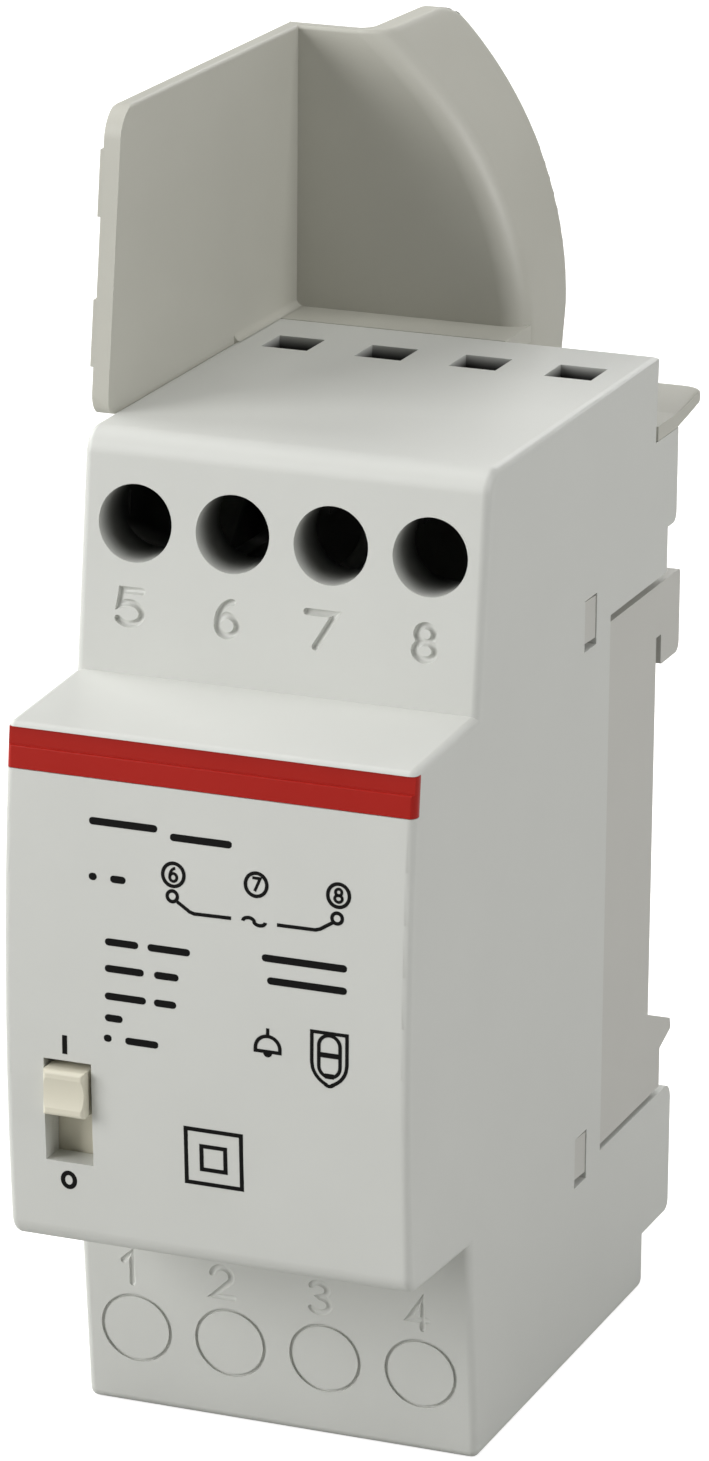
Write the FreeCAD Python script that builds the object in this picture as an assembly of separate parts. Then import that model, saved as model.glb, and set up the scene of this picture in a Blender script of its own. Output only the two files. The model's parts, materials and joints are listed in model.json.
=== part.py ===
import FreeCAD
import Part
import math
import os

from FreeCAD import Vector

# Doorbell transformer for a 35 mm top-hat rail, two modules wide.
# X is the width, +Y points at the wall behind the rail, +Z is up.
# The origin is the middle of the rail seat. All sizes are in millimetres.

# Housing
WIDTH = 36.0
BODY_HEIGHT = 87.0
NOSE_HEIGHT = 45.0
DEPTH = 60.0
WALL = 1.8
FRONT_BULGE = 1.2
TERMINAL_FACE_BACK = 15.0
TERMINAL_FACE_LEAN = 2.2
SHOULDER_RISE = 0.8
TOP_BACK_INSET = 1.0
SIDE_ROUND = 0.7
TOP_FRONT_ROUND = 2.3
NOSE_TOP_ROUND = 0.5
NOSE_BOTTOM_ROUND = 2.0
EDGE_ROUND = 0.9

# Cheeks of the cover beside the rail
SPLIT_DEPTH = 12.6
UPPER_CHEEK_BACK = 4.5
UPPER_CHEEK_TOP = 35.9
UPPER_CHEEK_STEP = 27.4
UPPER_CHEEK_NECK = 2.2
UPPER_CHEEK_BOTTOM = 23.3
LOWER_CHEEK_BACK = 6.5
LOWER_CHEEK_TOP = 26.0
LOWER_CHEEK_BOTTOM = 38.3
LOWER_CHEEK_ROUND = 1.6

# Terminals
TERMINAL_PITCH = 8.75
TERMINAL_COUNT = 4
TERMINAL_Z = 36.0
WELL_RADIUS = 3.3
WELL_WALL = 0.8
WELL_END = -38.5
KNOCKOUT_GROOVE = 0.3
KNOCKOUT_DEPTH = 0.25
KNOCKOUT_WEB = 1.0
WIRE_SLOT = 4.3
WIRE_SLOT_Y = -9.0
CLAMP_LARGEST_WIDTH = 5.8
CLAMP_FRONT = -13.5
CLAMP_BACK = -4.6
CLAMP_HEIGHT = 8.0
CLAMP_FRONT_WALL = 2.0
CLAMP_SIDE_WALL = 0.7
SCREW_RADIUS = 1.7
SCREW_HEAD_RADIUS = 2.9
SCREW_HEAD_HEIGHT = 2.4
SCREW_LENGTH = 9.4
SCREW_LIFT = 5.0
SCREW_SLOT = 0.8
SCREW_SLOT_DEPTH = 1.2

# Red band on the nose
BAND_HEIGHT = 3.5
BAND_RIM = 0.3
BAND_THICKNESS = 1.0
BAND_STEP = 0.25
BAND_STEP_HEIGHT = 1.95
BAND_STEP_ROUND = 0.15

# Slide switch
SWITCH_X = -12.25
SWITCH_SLOT_WIDTH = 4.3
SWITCH_SLOT_TOP = -5.85
SWITCH_SLOT_BOTTOM = -15.0
SWITCH_TRAVEL = 4.3
BUTTON_WIDTH = 3.7
BUTTON_HEIGHT = 4.0
BUTTON_PROUD = 0.9
BUTTON_TOP_GAP = 0.65
BUTTON_ROUND = 0.35
BUTTON_DISH = 0.2
BUTTON_DISH_HEIGHT = 2.6
SWITCH_BODY_WIDTH = 6.7
SWITCH_BODY_DEPTH = 7.0
SWITCH_BODY_MARGIN = 2.6
SWITCH_SETBACK = 3.1
SWITCH_WALL = 1.2
SHUTTER = 0.6
SHUTTER_LAP = 0.4
STEM_WIDTH = 2.0
STEM_HEIGHT = 3.0
STEM_LENGTH = 3.2
BRIDGE_THICKNESS = 0.8
CONTACT_SPACING = 2.3
CONTACT_WIDTH = 1.2
CONTACT_HEIGHT = 3.1
CONTACT_THICKNESS = 0.6
LUG_HEIGHT = 1.4
LUG_LENGTH = 3.5

# Transformer core, cut as a 42 mm E and I set
CORE_LEG = 7.0
CORE_WINDOW = 21.0
CORE_STACK = 16.0
CORE_BACK = -3.6
BOBBIN_WALL = 0.9
BOBBIN_FLANGE = 1.0
BOBBIN_FLANGE_WIDTH = 30.0
WINDING_INSET = 0.6
WINDING_ROUND = 3.0
CUTOUT_RADIUS = 1.6
CUTOUT_LENGTH = 7.0
CUTOUT_X = 11.5
CUTOUT_LEAD_RADIUS = 0.35

# Rear base
BASE_WALL = 2.0
BASE_SIDE_INSET = 0.1
BASE_SIDE_WALL = 1.8
HOOK_TOP = 22.6
HOOK_BOTTOM = 15.0
HOOK_BACK = 6.2
RAIL_HEIGHT = 35.0
RAIL_FLANGE = 1.0
RAIL_PLAY = 0.3
NUB_BACK = 6.5
NUB_TIP_Z = -20.8
NUB_NECK = 3.5
NUB_RIB = 3.2
PARTITION_FRONT = -14.4
SHELF_FRONT = -11.0
STOP_WIDTH = 2.0
SNAP_WINDOW_FRONT = -19.2
SNAP_WINDOW_LENGTH = 3.0
SNAP_WINDOW_HEIGHT = 4.6
SNAP_WINDOWS = (24.0, -25.0)
SNAP_ARM = 1.6
SNAP_GAP_ABOVE = 0.25
SNAP_GAP_BELOW = 0.6
SNAP_LUG_SLOPE = 0.15
CRADLE_RIB = 3.0

# Rail latch and its spring
LATCH_WIDTH = 14.0
LATCH_FRONT = 1.8
LATCH_THICKNESS = 2.2
LATCH_CATCH = 1.3
LATCH_NOSE_BACK = 6.2
LATCH_NOSE_DEPTH = 4.1
LATCH_END = -40.2
LATCH_LIP = 1.4
LATCH_WINDOW = 6.4
LATCH_WINDOW_TOP = -27.4
SPRING_PEG_TOP = -35.1
SPRING_PEG_HEIGHT = 1.1
SPRING_STRIP = 0.4
SPRING_BENDS = 4
SPRING_DEPTH = 1.6

# Wire shield
SHIELD_WALL = 1.5
SHIELD_TOP = 68.9
SHIELD_PLATE_FRONT = -38.0
SHIELD_PLATE_LEAN = 3.2
SHIELD_WALL_Y = 4.0
SHIELD_ARC_RADIUS = 37.0
SHIELD_ARC_X = -33.2
SHIELD_FLANGE_BACK = 13.0
SHIELD_FIN_BACK = 12.0
SHIELD_FIN_RISE = 0.9
SHIELD_FIN = 1.3
SHIELD_FIN_TIP = 1.0
SHIELD_FIN_ROUND = 0.48
SHIELD_ROUND = 2.4
SHIELD_GUSSET = 1.4
SHIELD_GUSSET_FRONT = -10.5
SHIELD_PAD = 0.3
SHIELD_PAD_HEIGHT = 5.6
SHIELD_PADS = (47.3, 59.8)
SHIELD_TAB_WIDTH = 4.0
SHIELD_TAB_DEPTH = 2.6
SHIELD_TABS = (-11.0, -2.0)

# Leads
LEAD_RADIUS = 0.7
LEAD_BEND_SHARE = 0.45
LEAD_SECONDARY_X = 9.3

# Clearances
SLIDE_GAP = 0.2
FIT_GAP = 0.15
SEAT_GAP = 0.05
SEAM_GAP = 0.5

# How far a cutting block runs past the face it cuts, and how near counts as on a plane or an edge
OVERCUT = 1.0
NEAR = 1e-3
EDGE_REACH = 0.6

# Places worked out from the sizes above
HALF_WIDTH = WIDTH / 2
HALF_BODY = BODY_HEIGHT / 2
HALF_NOSE = NOSE_HEIGHT / 2
FACE_FOOT_Y = TERMINAL_FACE_BACK - DEPTH
FACE_TOP_Y = FACE_FOOT_Y + TERMINAL_FACE_LEAN
SHOULDER_Z = HALF_NOSE + SHOULDER_RISE
INNER_HALF = HALF_WIDTH - WALL
BASE_HALF = INNER_HALF - FIT_GAP
BASE_SIDE = HALF_WIDTH - BASE_SIDE_INSET
TERMINAL_X = [(i - (TERMINAL_COUNT - 1) / 2) * TERMINAL_PITCH for i in range(TERMINAL_COUNT)]
SWITCH_FRONT = SWITCH_SETBACK - DEPTH
SWITCH_CASE_FRONT = SWITCH_FRONT + SHUTTER + 2 * SLIDE_GAP
BUTTON_TOP = SWITCH_SLOT_TOP - BUTTON_TOP_GAP
BUTTON_Z = BUTTON_TOP - BUTTON_HEIGHT / 2
CORE_HALF = 3 * CORE_LEG
CORE_YOKE_FRONT = CORE_BACK - CORE_LEG
CORE_LEG_END = CORE_YOKE_FRONT - CORE_WINDOW
LATCH_BACK = LATCH_FRONT + LATCH_THICKNESS
CLAMP_WIDTH = min(CLAMP_LARGEST_WIDTH, 2 * (INNER_HALF - TERMINAL_X[-1] - FIT_GAP))
PARTITION = TERMINAL_PITCH - CLAMP_WIDTH - 2 * FIT_GAP
RAIL_EDGE = RAIL_HEIGHT / 2


def box(x, y, z):
    """Block between the two ends given for each axis."""
    corner = Vector(min(x), min(y), min(z))
    return Part.makeBox(abs(x[1] - x[0]), abs(y[1] - y[0]), abs(z[1] - z[0]), corner)


def rod_y(x, z, radius, y):
    """Round bar along Y between the two ends in y."""
    return Part.makeCylinder(radius, max(y) - min(y), Vector(x, min(y), z), Vector(0, 1, 0))


def fuse_all(shapes):
    """One clean solid from shapes that touch."""
    return shapes[0].multiFuse(shapes[1:]).removeSplitter()


def outline(corners, place):
    """Face through (u, v, radius) corners, each rounded by a tangent arc of its radius."""
    points = [Vector(u, v, 0) for u, v, _ in corners]
    count = len(points)
    trims = []
    for index, (_, _, radius) in enumerate(corners):
        here = points[index]
        back = (points[index - 1] - here).normalize()
        ahead = (points[(index + 1) % count] - here).normalize()
        if radius == 0:
            trims.append((here, None, here))
            continue
        half_angle = back.getAngle(ahead) / 2
        reach = radius / math.tan(half_angle)
        middle = (back + ahead).normalize() * (radius / math.sin(half_angle) - radius)
        trims.append((here + back * reach, here + middle, here + ahead * reach))
    edges = []
    for index, (start, middle, end) in enumerate(trims):
        if middle is not None:
            arc = Part.Arc(place(start), place(middle), place(end))
            edges.append(arc.toShape())
        following = trims[(index + 1) % count][0]
        if end.distanceToPoint(following) > 1e-6:
            edges.append(Part.makeLine(place(end), place(following)))
    return Part.Face(Part.Wire(edges))


def side_prism(corners, x):
    """Outline in (Y, Z) carried across the width between the two ends in x."""
    face = outline(corners, lambda p: Vector(min(x), p.x, p.y))
    return face.extrude(Vector(max(x) - min(x), 0, 0))


def front_prism(corners, y):
    """Outline in (X, Z) carried along the depth between the two ends in y."""
    face = outline(corners, lambda p: Vector(p.x, min(y), p.y))
    return face.extrude(Vector(0, max(y) - min(y), 0))


def sharp(*points):
    """Corners with no rounding."""
    return [(u, v, 0) for u, v in points]


def round_edges(shape, radius, chosen):
    """Fillet the edges whose middle point passes the test."""
    edges = [edge for edge in shape.Edges if chosen(edge)]
    return shape.makeFillet(radius, edges)


def middle_of(edge):
    """Point halfway along an edge."""
    return edge.valueAt((edge.FirstParameter + edge.LastParameter) / 2)


def along_x(y, z):
    """Test for the straight edge across the width at this (Y, Z)."""
    def chosen(edge):
        point = middle_of(edge)
        return abs(point.x) < EDGE_REACH and abs(point.y - y) < EDGE_REACH and abs(point.z - z) < EDGE_REACH
    return chosen


def mirror_x(shape):
    """Copy on the other side of the middle plane."""
    return shape.mirror(Vector(0, 0, 0), Vector(1, 0, 0))


def mirror_z(shape):
    """Copy turned over from the upper half to the lower half."""
    return shape.mirror(Vector(0, 0, 0), Vector(0, 0, 1))


def bulge_radius():
    """Radius of the nose front, from the height of its bulge."""
    return (HALF_NOSE ** 2 + FRONT_BULGE ** 2) / (2 * FRONT_BULGE)


def front_bulge(inset):
    """Large cylinder across the width whose front is the bulged nose, moved in by inset."""
    radius = bulge_radius()
    start = Vector(-WIDTH, radius - DEPTH, 0)
    return Part.makeCylinder(radius - inset, 2 * WIDTH, start, Vector(1, 0, 0))


def housing_form():
    """Outside of the cover: a stepped side outline with a slightly bulged nose and rounded edges."""
    corners = [
        (-TOP_BACK_INSET, HALF_BODY, EDGE_ROUND),
        (FACE_TOP_Y, HALF_BODY, TOP_FRONT_ROUND),
        (FACE_FOOT_Y, SHOULDER_Z, 0),
        (-DEPTH - OVERCUT, HALF_NOSE, 0),
        (-DEPTH - OVERCUT, -HALF_NOSE, 0),
        (FACE_FOOT_Y, -SHOULDER_Z, 0),
        (FACE_TOP_Y, -HALF_BODY, EDGE_ROUND),
        (0, -HALF_BODY, EDGE_ROUND),
        (0, -LOWER_CHEEK_BOTTOM, 0),
        (LOWER_CHEEK_BACK, -LOWER_CHEEK_BOTTOM, EDGE_ROUND),
        (LOWER_CHEEK_BACK, -LOWER_CHEEK_TOP, LOWER_CHEEK_ROUND),
        (-SPLIT_DEPTH, -LOWER_CHEEK_TOP, 0),
        (-SPLIT_DEPTH, UPPER_CHEEK_BOTTOM, 0),
        (UPPER_CHEEK_NECK, UPPER_CHEEK_BOTTOM, 0),
        (UPPER_CHEEK_NECK, UPPER_CHEEK_STEP, 0),
        (UPPER_CHEEK_BACK, UPPER_CHEEK_STEP, EDGE_ROUND),
        (UPPER_CHEEK_BACK, UPPER_CHEEK_TOP, 0),
        (-TOP_BACK_INSET, UPPER_CHEEK_TOP, 0),
    ]
    form = side_prism(corners, (-HALF_WIDTH, HALF_WIDTH)).common(front_bulge(0))
    nose_edge_y = FRONT_BULGE - DEPTH
    form = round_edges(form, NOSE_TOP_ROUND, along_x(nose_edge_y, HALF_NOSE))
    form = round_edges(form, NOSE_BOTTOM_ROUND, along_x(nose_edge_y, -HALF_NOSE))

    def side_edge(edge):
        point = middle_of(edge)
        on_side = abs(abs(point.x) - HALF_WIDTH) < NEAR
        in_front = point.y < -SPLIT_DEPTH - NEAR
        on_top_or_bottom = abs(point.z) > HALF_BODY - NEAR
        return on_side and (in_front or on_top_or_bottom)
    return round_edges(form, SIDE_ROUND, side_edge)


def cavity_form():
    """Hollow of the cover, one wall inside the housing and open at the back."""
    lean = TERMINAL_FACE_LEAN / (HALF_BODY - SHOULDER_Z)
    top = HALF_BODY - WALL
    half = [
        (LOWER_CHEEK_BACK + WALL, top),
        (FACE_TOP_Y + WALL - lean * WALL, top),
        (FACE_FOOT_Y + WALL, SHOULDER_Z - WALL),
        (-DEPTH, HALF_NOSE - WALL),
    ]
    corners = half + [(y, -z) for y, z in reversed(half)]
    return side_prism(sharp(*corners), (-INNER_HALF, INNER_HALF)).common(front_bulge(WALL))


def well_tubes(form):
    """Screwdriver tubes behind the terminal faces, kept inside the housing."""
    tubes = []
    for x in TERMINAL_X:
        for z in (TERMINAL_Z, -TERMINAL_Z):
            tubes.append(rod_y(x, z, WELL_RADIUS + WELL_WALL, (-DEPTH, WELL_END)))
    return [tube.common(form) for tube in tubes]


def face_normal():
    """Outward normal of the upper terminal face."""
    rise = HALF_BODY - SHOULDER_Z
    return Vector(0, -rise, TERMINAL_FACE_LEAN).normalize()


def lower_face_y(z):
    """Depth of the lower terminal face at this height."""
    share = (-z - SHOULDER_Z) / (HALF_BODY - SHOULDER_Z)
    return FACE_FOOT_Y + share * TERMINAL_FACE_LEAN


def knockout_groove(x):
    """Ring cut that leaves a closed disc in the lower terminal face."""
    upward = face_normal()
    outward = Vector(0, upward.y, -upward.z)
    centre = Vector(x, lower_face_y(-TERMINAL_Z), -TERMINAL_Z)
    start = centre - outward * KNOCKOUT_DEPTH
    ring = Part.makeCylinder(WELL_RADIUS, 2 * KNOCKOUT_DEPTH, start, outward)
    disc = Part.makeCylinder(WELL_RADIUS - KNOCKOUT_GROOVE, 2 * KNOCKOUT_DEPTH, start, outward)
    return ring.cut(disc)


def snap_window(side, z):
    """Window in a cover wall for one snap lug."""
    half = SNAP_WINDOW_HEIGHT / 2
    through = (side * (INNER_HALF - OVERCUT), side * (HALF_WIDTH + OVERCUT))
    length = (SNAP_WINDOW_FRONT, SNAP_WINDOW_FRONT + SNAP_WINDOW_LENGTH)
    return box(through, length, (z - half, z + half))


def switch_slot_block(x_margin, z_margin, y):
    """Block around the switch slot, grown by the margins."""
    half = SWITCH_SLOT_WIDTH / 2 + x_margin
    height = (SWITCH_SLOT_BOTTOM - z_margin, SWITCH_SLOT_TOP + z_margin)
    return box((SWITCH_X - half, SWITCH_X + half), y, height)


def shutter_channel():
    """Room behind the switch slot for the button's shutter, open above and below."""
    depth = (SWITCH_FRONT, SWITCH_CASE_FRONT + OVERCUT)
    return switch_slot_block(SHUTTER_LAP + SLIDE_GAP, 2 * SWITCH_WALL, depth)


def band_space(form, gap):
    """Layer of the nose front that the red band fills."""
    top = HALF_NOSE - BAND_RIM - gap
    front_layer = (-DEPTH - OVERCUT, FRONT_BULGE + 2 * BAND_THICKNESS - DEPTH)
    slab = box((-WIDTH, WIDTH), front_layer, (top - BAND_HEIGHT + 2 * gap, top))
    inner = form.translated(Vector(0, BAND_THICKNESS, 0))
    inner_wide = inner.fuse(inner.translated(Vector(SIDE_ROUND, 0, 0)))
    inner_wide = inner_wide.fuse(inner.translated(Vector(-SIDE_ROUND, 0, 0)))
    return form.common(slab).cut(inner_wide)


def front_cover():
    """Moulded shell with wells, knock-outs, wire slots, switch slot and snap windows."""
    form = housing_form()
    cover = form.cut(cavity_form())
    cover = fuse_all([cover] + well_tubes(form))
    cuts = []
    web_y = lower_face_y(-TERMINAL_Z) + KNOCKOUT_WEB
    for x in TERMINAL_X:
        cuts.append(rod_y(x, TERMINAL_Z, WELL_RADIUS, (-DEPTH, WELL_END + OVERCUT)))
        cuts.append(rod_y(x, -TERMINAL_Z, WELL_RADIUS - KNOCKOUT_GROOVE, (web_y, WELL_END + OVERCUT)))
        cuts.append(knockout_groove(x))
        half = WIRE_SLOT / 2
        slot_x = (x - half, x + half)
        slot_y = (WIRE_SLOT_Y - half, WIRE_SLOT_Y + half)
        cuts.append(box(slot_x, slot_y, (HALF_BODY - 2 * WALL, HALF_BODY + OVERCUT)))
        cuts.append(box(slot_x, slot_y, (-HALF_BODY - OVERCUT, -HALF_BODY + 2 * WALL)))
    for side in (-1, 1):
        for z in SNAP_WINDOWS:
            cuts.append(snap_window(side, z))
    frame = switch_slot_block(SWITCH_WALL, SWITCH_WALL, (WALL - DEPTH, SWITCH_CASE_FRONT))
    cover = cover.fuse(frame)
    cuts.append(switch_slot_block(0, 0, (-DEPTH - OVERCUT, SWITCH_CASE_FRONT + OVERCUT)))
    cuts.append(shutter_channel())
    cuts.append(band_space(form, 0))
    for cut in cuts:
        cover = cover.cut(cut)
    return cover.removeSplitter()


def nose_front_y(z):
    """Depth of the bulged nose front at this height."""
    radius = bulge_radius()
    return radius - math.sqrt(radius ** 2 - z ** 2) - DEPTH


def red_band():
    """Inlay along the top of the nose, with its upper part set back behind a rounded shoulder."""
    top = HALF_NOSE - BAND_RIM
    bottom = top - BAND_HEIGHT
    shoulder = bottom + BAND_STEP_HEIGHT
    back = nose_front_y(top) + 2 * BAND_THICKNESS
    corners = [
        (nose_front_y(top) + BAND_STEP, top, 0),
        (nose_front_y(shoulder) + BAND_STEP, shoulder, 0),
        (nose_front_y(shoulder) + SEAT_GAP, shoulder, BAND_STEP_ROUND),
        (nose_front_y(bottom) + SEAT_GAP, bottom, 0),
        (back, bottom, 0),
        (back, top, 0),
    ]
    strip = side_prism(corners, (-WIDTH, WIDTH))
    return strip.common(band_space(housing_form(), SEAT_GAP))


def base_spine():
    """Base between the cheeks: closing walls, rail seat, hook and lower block in one side outline."""
    top = HALF_BODY - WALL - FIT_GAP
    upper_back = UPPER_CHEEK_BACK - SLIDE_GAP
    lower_back = LOWER_CHEEK_BACK - SLIDE_GAP
    close_back = -TOP_BACK_INSET - SLIDE_GAP
    ledge = UPPER_CHEEK_TOP - BASE_WALL
    corners = sharp(
        (close_back, top),
        (close_back, UPPER_CHEEK_TOP),
        (upper_back, UPPER_CHEEK_TOP),
        (upper_back, UPPER_CHEEK_STEP + SLIDE_GAP),
        (UPPER_CHEEK_NECK - SLIDE_GAP, UPPER_CHEEK_STEP + SLIDE_GAP),
        (UPPER_CHEEK_NECK - SLIDE_GAP, HOOK_TOP),
    ) + hook_corners() + sharp(
        (0, -LOWER_CHEEK_TOP - SLIDE_GAP),
        (lower_back, -LOWER_CHEEK_TOP - SLIDE_GAP),
        (lower_back, -LOWER_CHEEK_BOTTOM),
        (-SLIDE_GAP, -LOWER_CHEEK_BOTTOM),
        (-SLIDE_GAP, -top),
        (-BASE_WALL - SLIDE_GAP, -top),
        (-BASE_WALL - SLIDE_GAP, ledge),
        (close_back - BASE_WALL, ledge),
        (close_back - BASE_WALL, top),
    )
    spine = side_prism(corners, (-BASE_HALF, BASE_HALF))
    pocket_back = upper_back - BASE_WALL
    pocket = box((-BASE_HALF + BASE_WALL, BASE_HALF - BASE_WALL), (-2 * BASE_WALL, pocket_back),
                 (UPPER_CHEEK_STEP + BASE_WALL, ledge))
    return spine.cut(pocket)


def hook_corners():
    """Upper rail hook, from its top round the lip and the flange slot to the seat."""
    slot = RAIL_FLANGE + RAIL_PLAY
    slot_top = RAIL_EDGE + RAIL_PLAY
    return [
        (HOOK_BACK, HOOK_TOP, EDGE_ROUND / 2),
        (HOOK_BACK, HOOK_BOTTOM, EDGE_ROUND),
        (slot, HOOK_BOTTOM, RAIL_PLAY),
        (slot, slot_top, 0),
        (0, slot_top, 0),
    ]


def nub_corners():
    """Ramped tip of the side nub that passes under the rail."""
    return [
        (NUB_BACK - RAIL_PLAY, NUB_TIP_Z + RAIL_FLANGE, RAIL_PLAY),
        (NUB_BACK, NUB_TIP_Z, RAIL_PLAY),
        (NUB_NECK, NUB_TIP_Z - RAIL_FLANGE, 0),
    ]


def base_side():
    """Side wall of the base behind the split line, with the hook end and the rail nub."""
    bottom = -LOWER_CHEEK_TOP + SEAM_GAP
    front = -SPLIT_DEPTH + SEAT_GAP
    nub = sharp((0, -RAIL_EDGE)) + nub_corners() + sharp((NUB_NECK, bottom))
    corners = sharp((front, HOOK_TOP)) + hook_corners() + nub + sharp((front, bottom))
    inner = BASE_SIDE - BASE_SIDE_WALL
    wall = side_prism(corners, (inner, BASE_SIDE))
    rib_corners = sharp((-BASE_WALL, -RAIL_EDGE)) + nub + sharp((-BASE_WALL, bottom))
    rib = side_prism(rib_corners, (inner - NUB_RIB, BASE_SIDE))
    return fuse_all([wall, rib])


def snap_arm(z):
    """Spring arm with a sloped lug that snaps into a window of the cover."""
    half = SNAP_WINDOW_HEIGHT / 2
    bottom = z - half + SNAP_GAP_BELOW
    top = z + half - SNAP_GAP_ABOVE
    tip = SNAP_WINDOW_FRONT + SEAT_GAP
    lug_back = SNAP_WINDOW_FRONT + SNAP_WINDOW_LENGTH - SEAT_GAP
    arm = box((BASE_HALF - SNAP_ARM, BASE_HALF), (tip, 0), (bottom, top))
    corners = [
        Vector(BASE_HALF, tip, bottom),
        Vector(BASE_HALF, lug_back, bottom),
        Vector(BASE_SIDE, lug_back, bottom),
        Vector(BASE_SIDE - SNAP_LUG_SLOPE, tip, bottom),
    ]
    lug = Part.Face(Part.makePolygon(corners + corners[:1]))
    return arm.fuse(lug.extrude(Vector(0, 0, top - bottom)))


def terminal_tray(back):
    """Shelf, partitions and back stops that hold the upper row of clamps, grown from a wall at back."""
    clamp_bottom = TERMINAL_Z - CLAMP_HEIGHT / 2
    top = HALF_BODY - WALL - FIT_GAP
    shelf_z = (clamp_bottom - BASE_WALL, clamp_bottom)
    pieces = [box((-BASE_HALF, BASE_HALF), (SHELF_FRONT, back), shelf_z)]
    half = PARTITION / 2
    for x in [(left + right) / 2 for left, right in zip(TERMINAL_X, TERMINAL_X[1:])]:
        pieces.append(box((x - half, x + half), (PARTITION_FRONT, back), (clamp_bottom - BASE_WALL, top)))
    stop = STOP_WIDTH / 2
    for x in TERMINAL_X:
        pieces.append(box((x - stop, x + stop), (CLAMP_BACK + SEAT_GAP, back), (clamp_bottom, top)))
    return pieces


def core_cradle():
    """Cross ribs and cheeks that carry the back of the core."""
    pieces = []
    half = CORE_STACK / 2 + FIT_GAP
    for z in (CORE_HALF - CRADLE_RIB, -CORE_HALF):
        height = (z, z + CRADLE_RIB)
        pieces.append(box((-half, half), (CORE_BACK, -BASE_WALL / 2), height))
        for side in (-1, 1):
            cheek = (side * half, side * (half + BASE_WALL))
            pieces.append(box(cheek, (CORE_YOKE_FRONT, -BASE_WALL / 2), height))
    return pieces


def latch_channel():
    """Slot through the lower block for the latch plate."""
    half = LATCH_WIDTH / 2 + SLIDE_GAP
    depth = (LATCH_FRONT - SLIDE_GAP, LATCH_BACK + SLIDE_GAP)
    return box((-half, half), depth, (-LOWER_CHEEK_BOTTOM - OVERCUT, -LOWER_CHEEK_TOP + OVERCUT))


def rear_base():
    """Moulded base with rail seat, hook, nubs, snap arms, terminal trays, core cradle and latch slot."""
    side = base_side()
    arms = [snap_arm(z) for z in SNAP_WINDOWS]
    pieces = [base_spine(), side, mirror_x(side)]
    for arm in arms:
        pieces += [arm, mirror_x(arm)]
    pieces += terminal_tray(-TOP_BACK_INSET - BASE_WALL)
    pieces += [mirror_z(piece) for piece in terminal_tray(-BASE_WALL)]
    pieces += core_cradle()
    base = fuse_all(pieces)
    base = base.cut(latch_channel())
    peg_half = LATCH_WINDOW / 2 - 2 * SLIDE_GAP
    peg = box((-peg_half, peg_half), (LATCH_FRONT - BASE_WALL / 2, LATCH_BACK + BASE_WALL / 2),
              (SPRING_PEG_TOP - SPRING_PEG_HEIGHT, SPRING_PEG_TOP))
    base = base.fuse(peg)
    for x in SHIELD_TABS:
        base = base.cut(shield_tab(x, FIT_GAP))
    return base.removeSplitter()


def rail_latch():
    """Sliding latch plate with a ramped nose above and a pull lip below."""
    half = LATCH_WIDTH / 2
    catch_top = -RAIL_EDGE + LATCH_CATCH
    nose_bottom = -RAIL_EDGE - LATCH_NOSE_DEPTH
    catch_front = RAIL_FLANGE + RAIL_PLAY
    corners = [
        (catch_front, -RAIL_EDGE - RAIL_PLAY, 0),
        (catch_front, catch_top, 0),
        (catch_front + RAIL_FLANGE, catch_top, RAIL_PLAY),
        (LATCH_NOSE_BACK, nose_bottom + RAIL_FLANGE, RAIL_PLAY),
        (LATCH_NOSE_BACK, nose_bottom, 0),
        (LATCH_BACK, nose_bottom, RAIL_PLAY),
        (LATCH_BACK, LATCH_END + LATCH_LIP, RAIL_PLAY),
        (LOWER_CHEEK_BACK, LATCH_END + LATCH_LIP, 0),
        (LOWER_CHEEK_BACK, LATCH_END, RAIL_PLAY),
        (LATCH_FRONT, LATCH_END, RAIL_PLAY),
        (LATCH_FRONT, -RAIL_EDGE - RAIL_PLAY, 0),
    ]
    plate = side_prism(corners, (-half, half))
    window_half = LATCH_WINDOW / 2
    window_bottom = SPRING_PEG_TOP - SPRING_PEG_HEIGHT - SLIDE_GAP
    window = box((-window_half, window_half), (0, 2 * LATCH_BACK), (window_bottom, LATCH_WINDOW_TOP))
    return plate.cut(window)


def latch_spring():
    """Strip bent to and fro between the peg and the top of the latch window."""
    height = LATCH_WINDOW_TOP - SPRING_PEG_TOP
    pitch = (height - SPRING_STRIP) / SPRING_BENDS
    reach = LATCH_WINDOW / 2 - 3 * SLIDE_GAP
    radius = (pitch - SPRING_STRIP) / 2
    y = (LATCH_FRONT + LATCH_BACK - SPRING_DEPTH) / 2
    depth = (y, y + SPRING_DEPTH)
    pieces = []
    for i in range(SPRING_BENDS + 1):
        z = SPRING_PEG_TOP + i * pitch
        straight = reach - radius - SPRING_STRIP
        pieces.append(box((-straight, straight), depth, (z, z + SPRING_STRIP)))
        if i == SPRING_BENDS:
            continue
        side = 1 if i % 2 == 0 else -1
        centre = Vector(side * straight, y, z + SPRING_STRIP + radius)
        outer = Part.makeCylinder(radius + SPRING_STRIP, SPRING_DEPTH, centre, Vector(0, 1, 0))
        inner = Part.makeCylinder(radius, SPRING_DEPTH, centre, Vector(0, 1, 0))
        outside = box((side * straight, side * 2 * reach), depth, (z, z + pitch + SPRING_STRIP))
        pieces.append(outer.cut(inner).common(outside))
    return fuse_all(pieces)


def shield_tab(x, gap):
    """Plug tab of the shield, or with a gap the slot for it in the base."""
    half = SHIELD_TAB_WIDTH / 2 + gap
    back = SHIELD_WALL_Y - SLIDE_GAP + gap - SHIELD_WALL / 2
    bottom = UPPER_CHEEK_TOP - SHIELD_TAB_DEPTH - gap
    depth = (back - SHIELD_WALL - 2 * gap, back)
    return box((x - half, x + half), depth, (bottom, UPPER_CHEEK_TOP + SHIELD_WALL))


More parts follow.
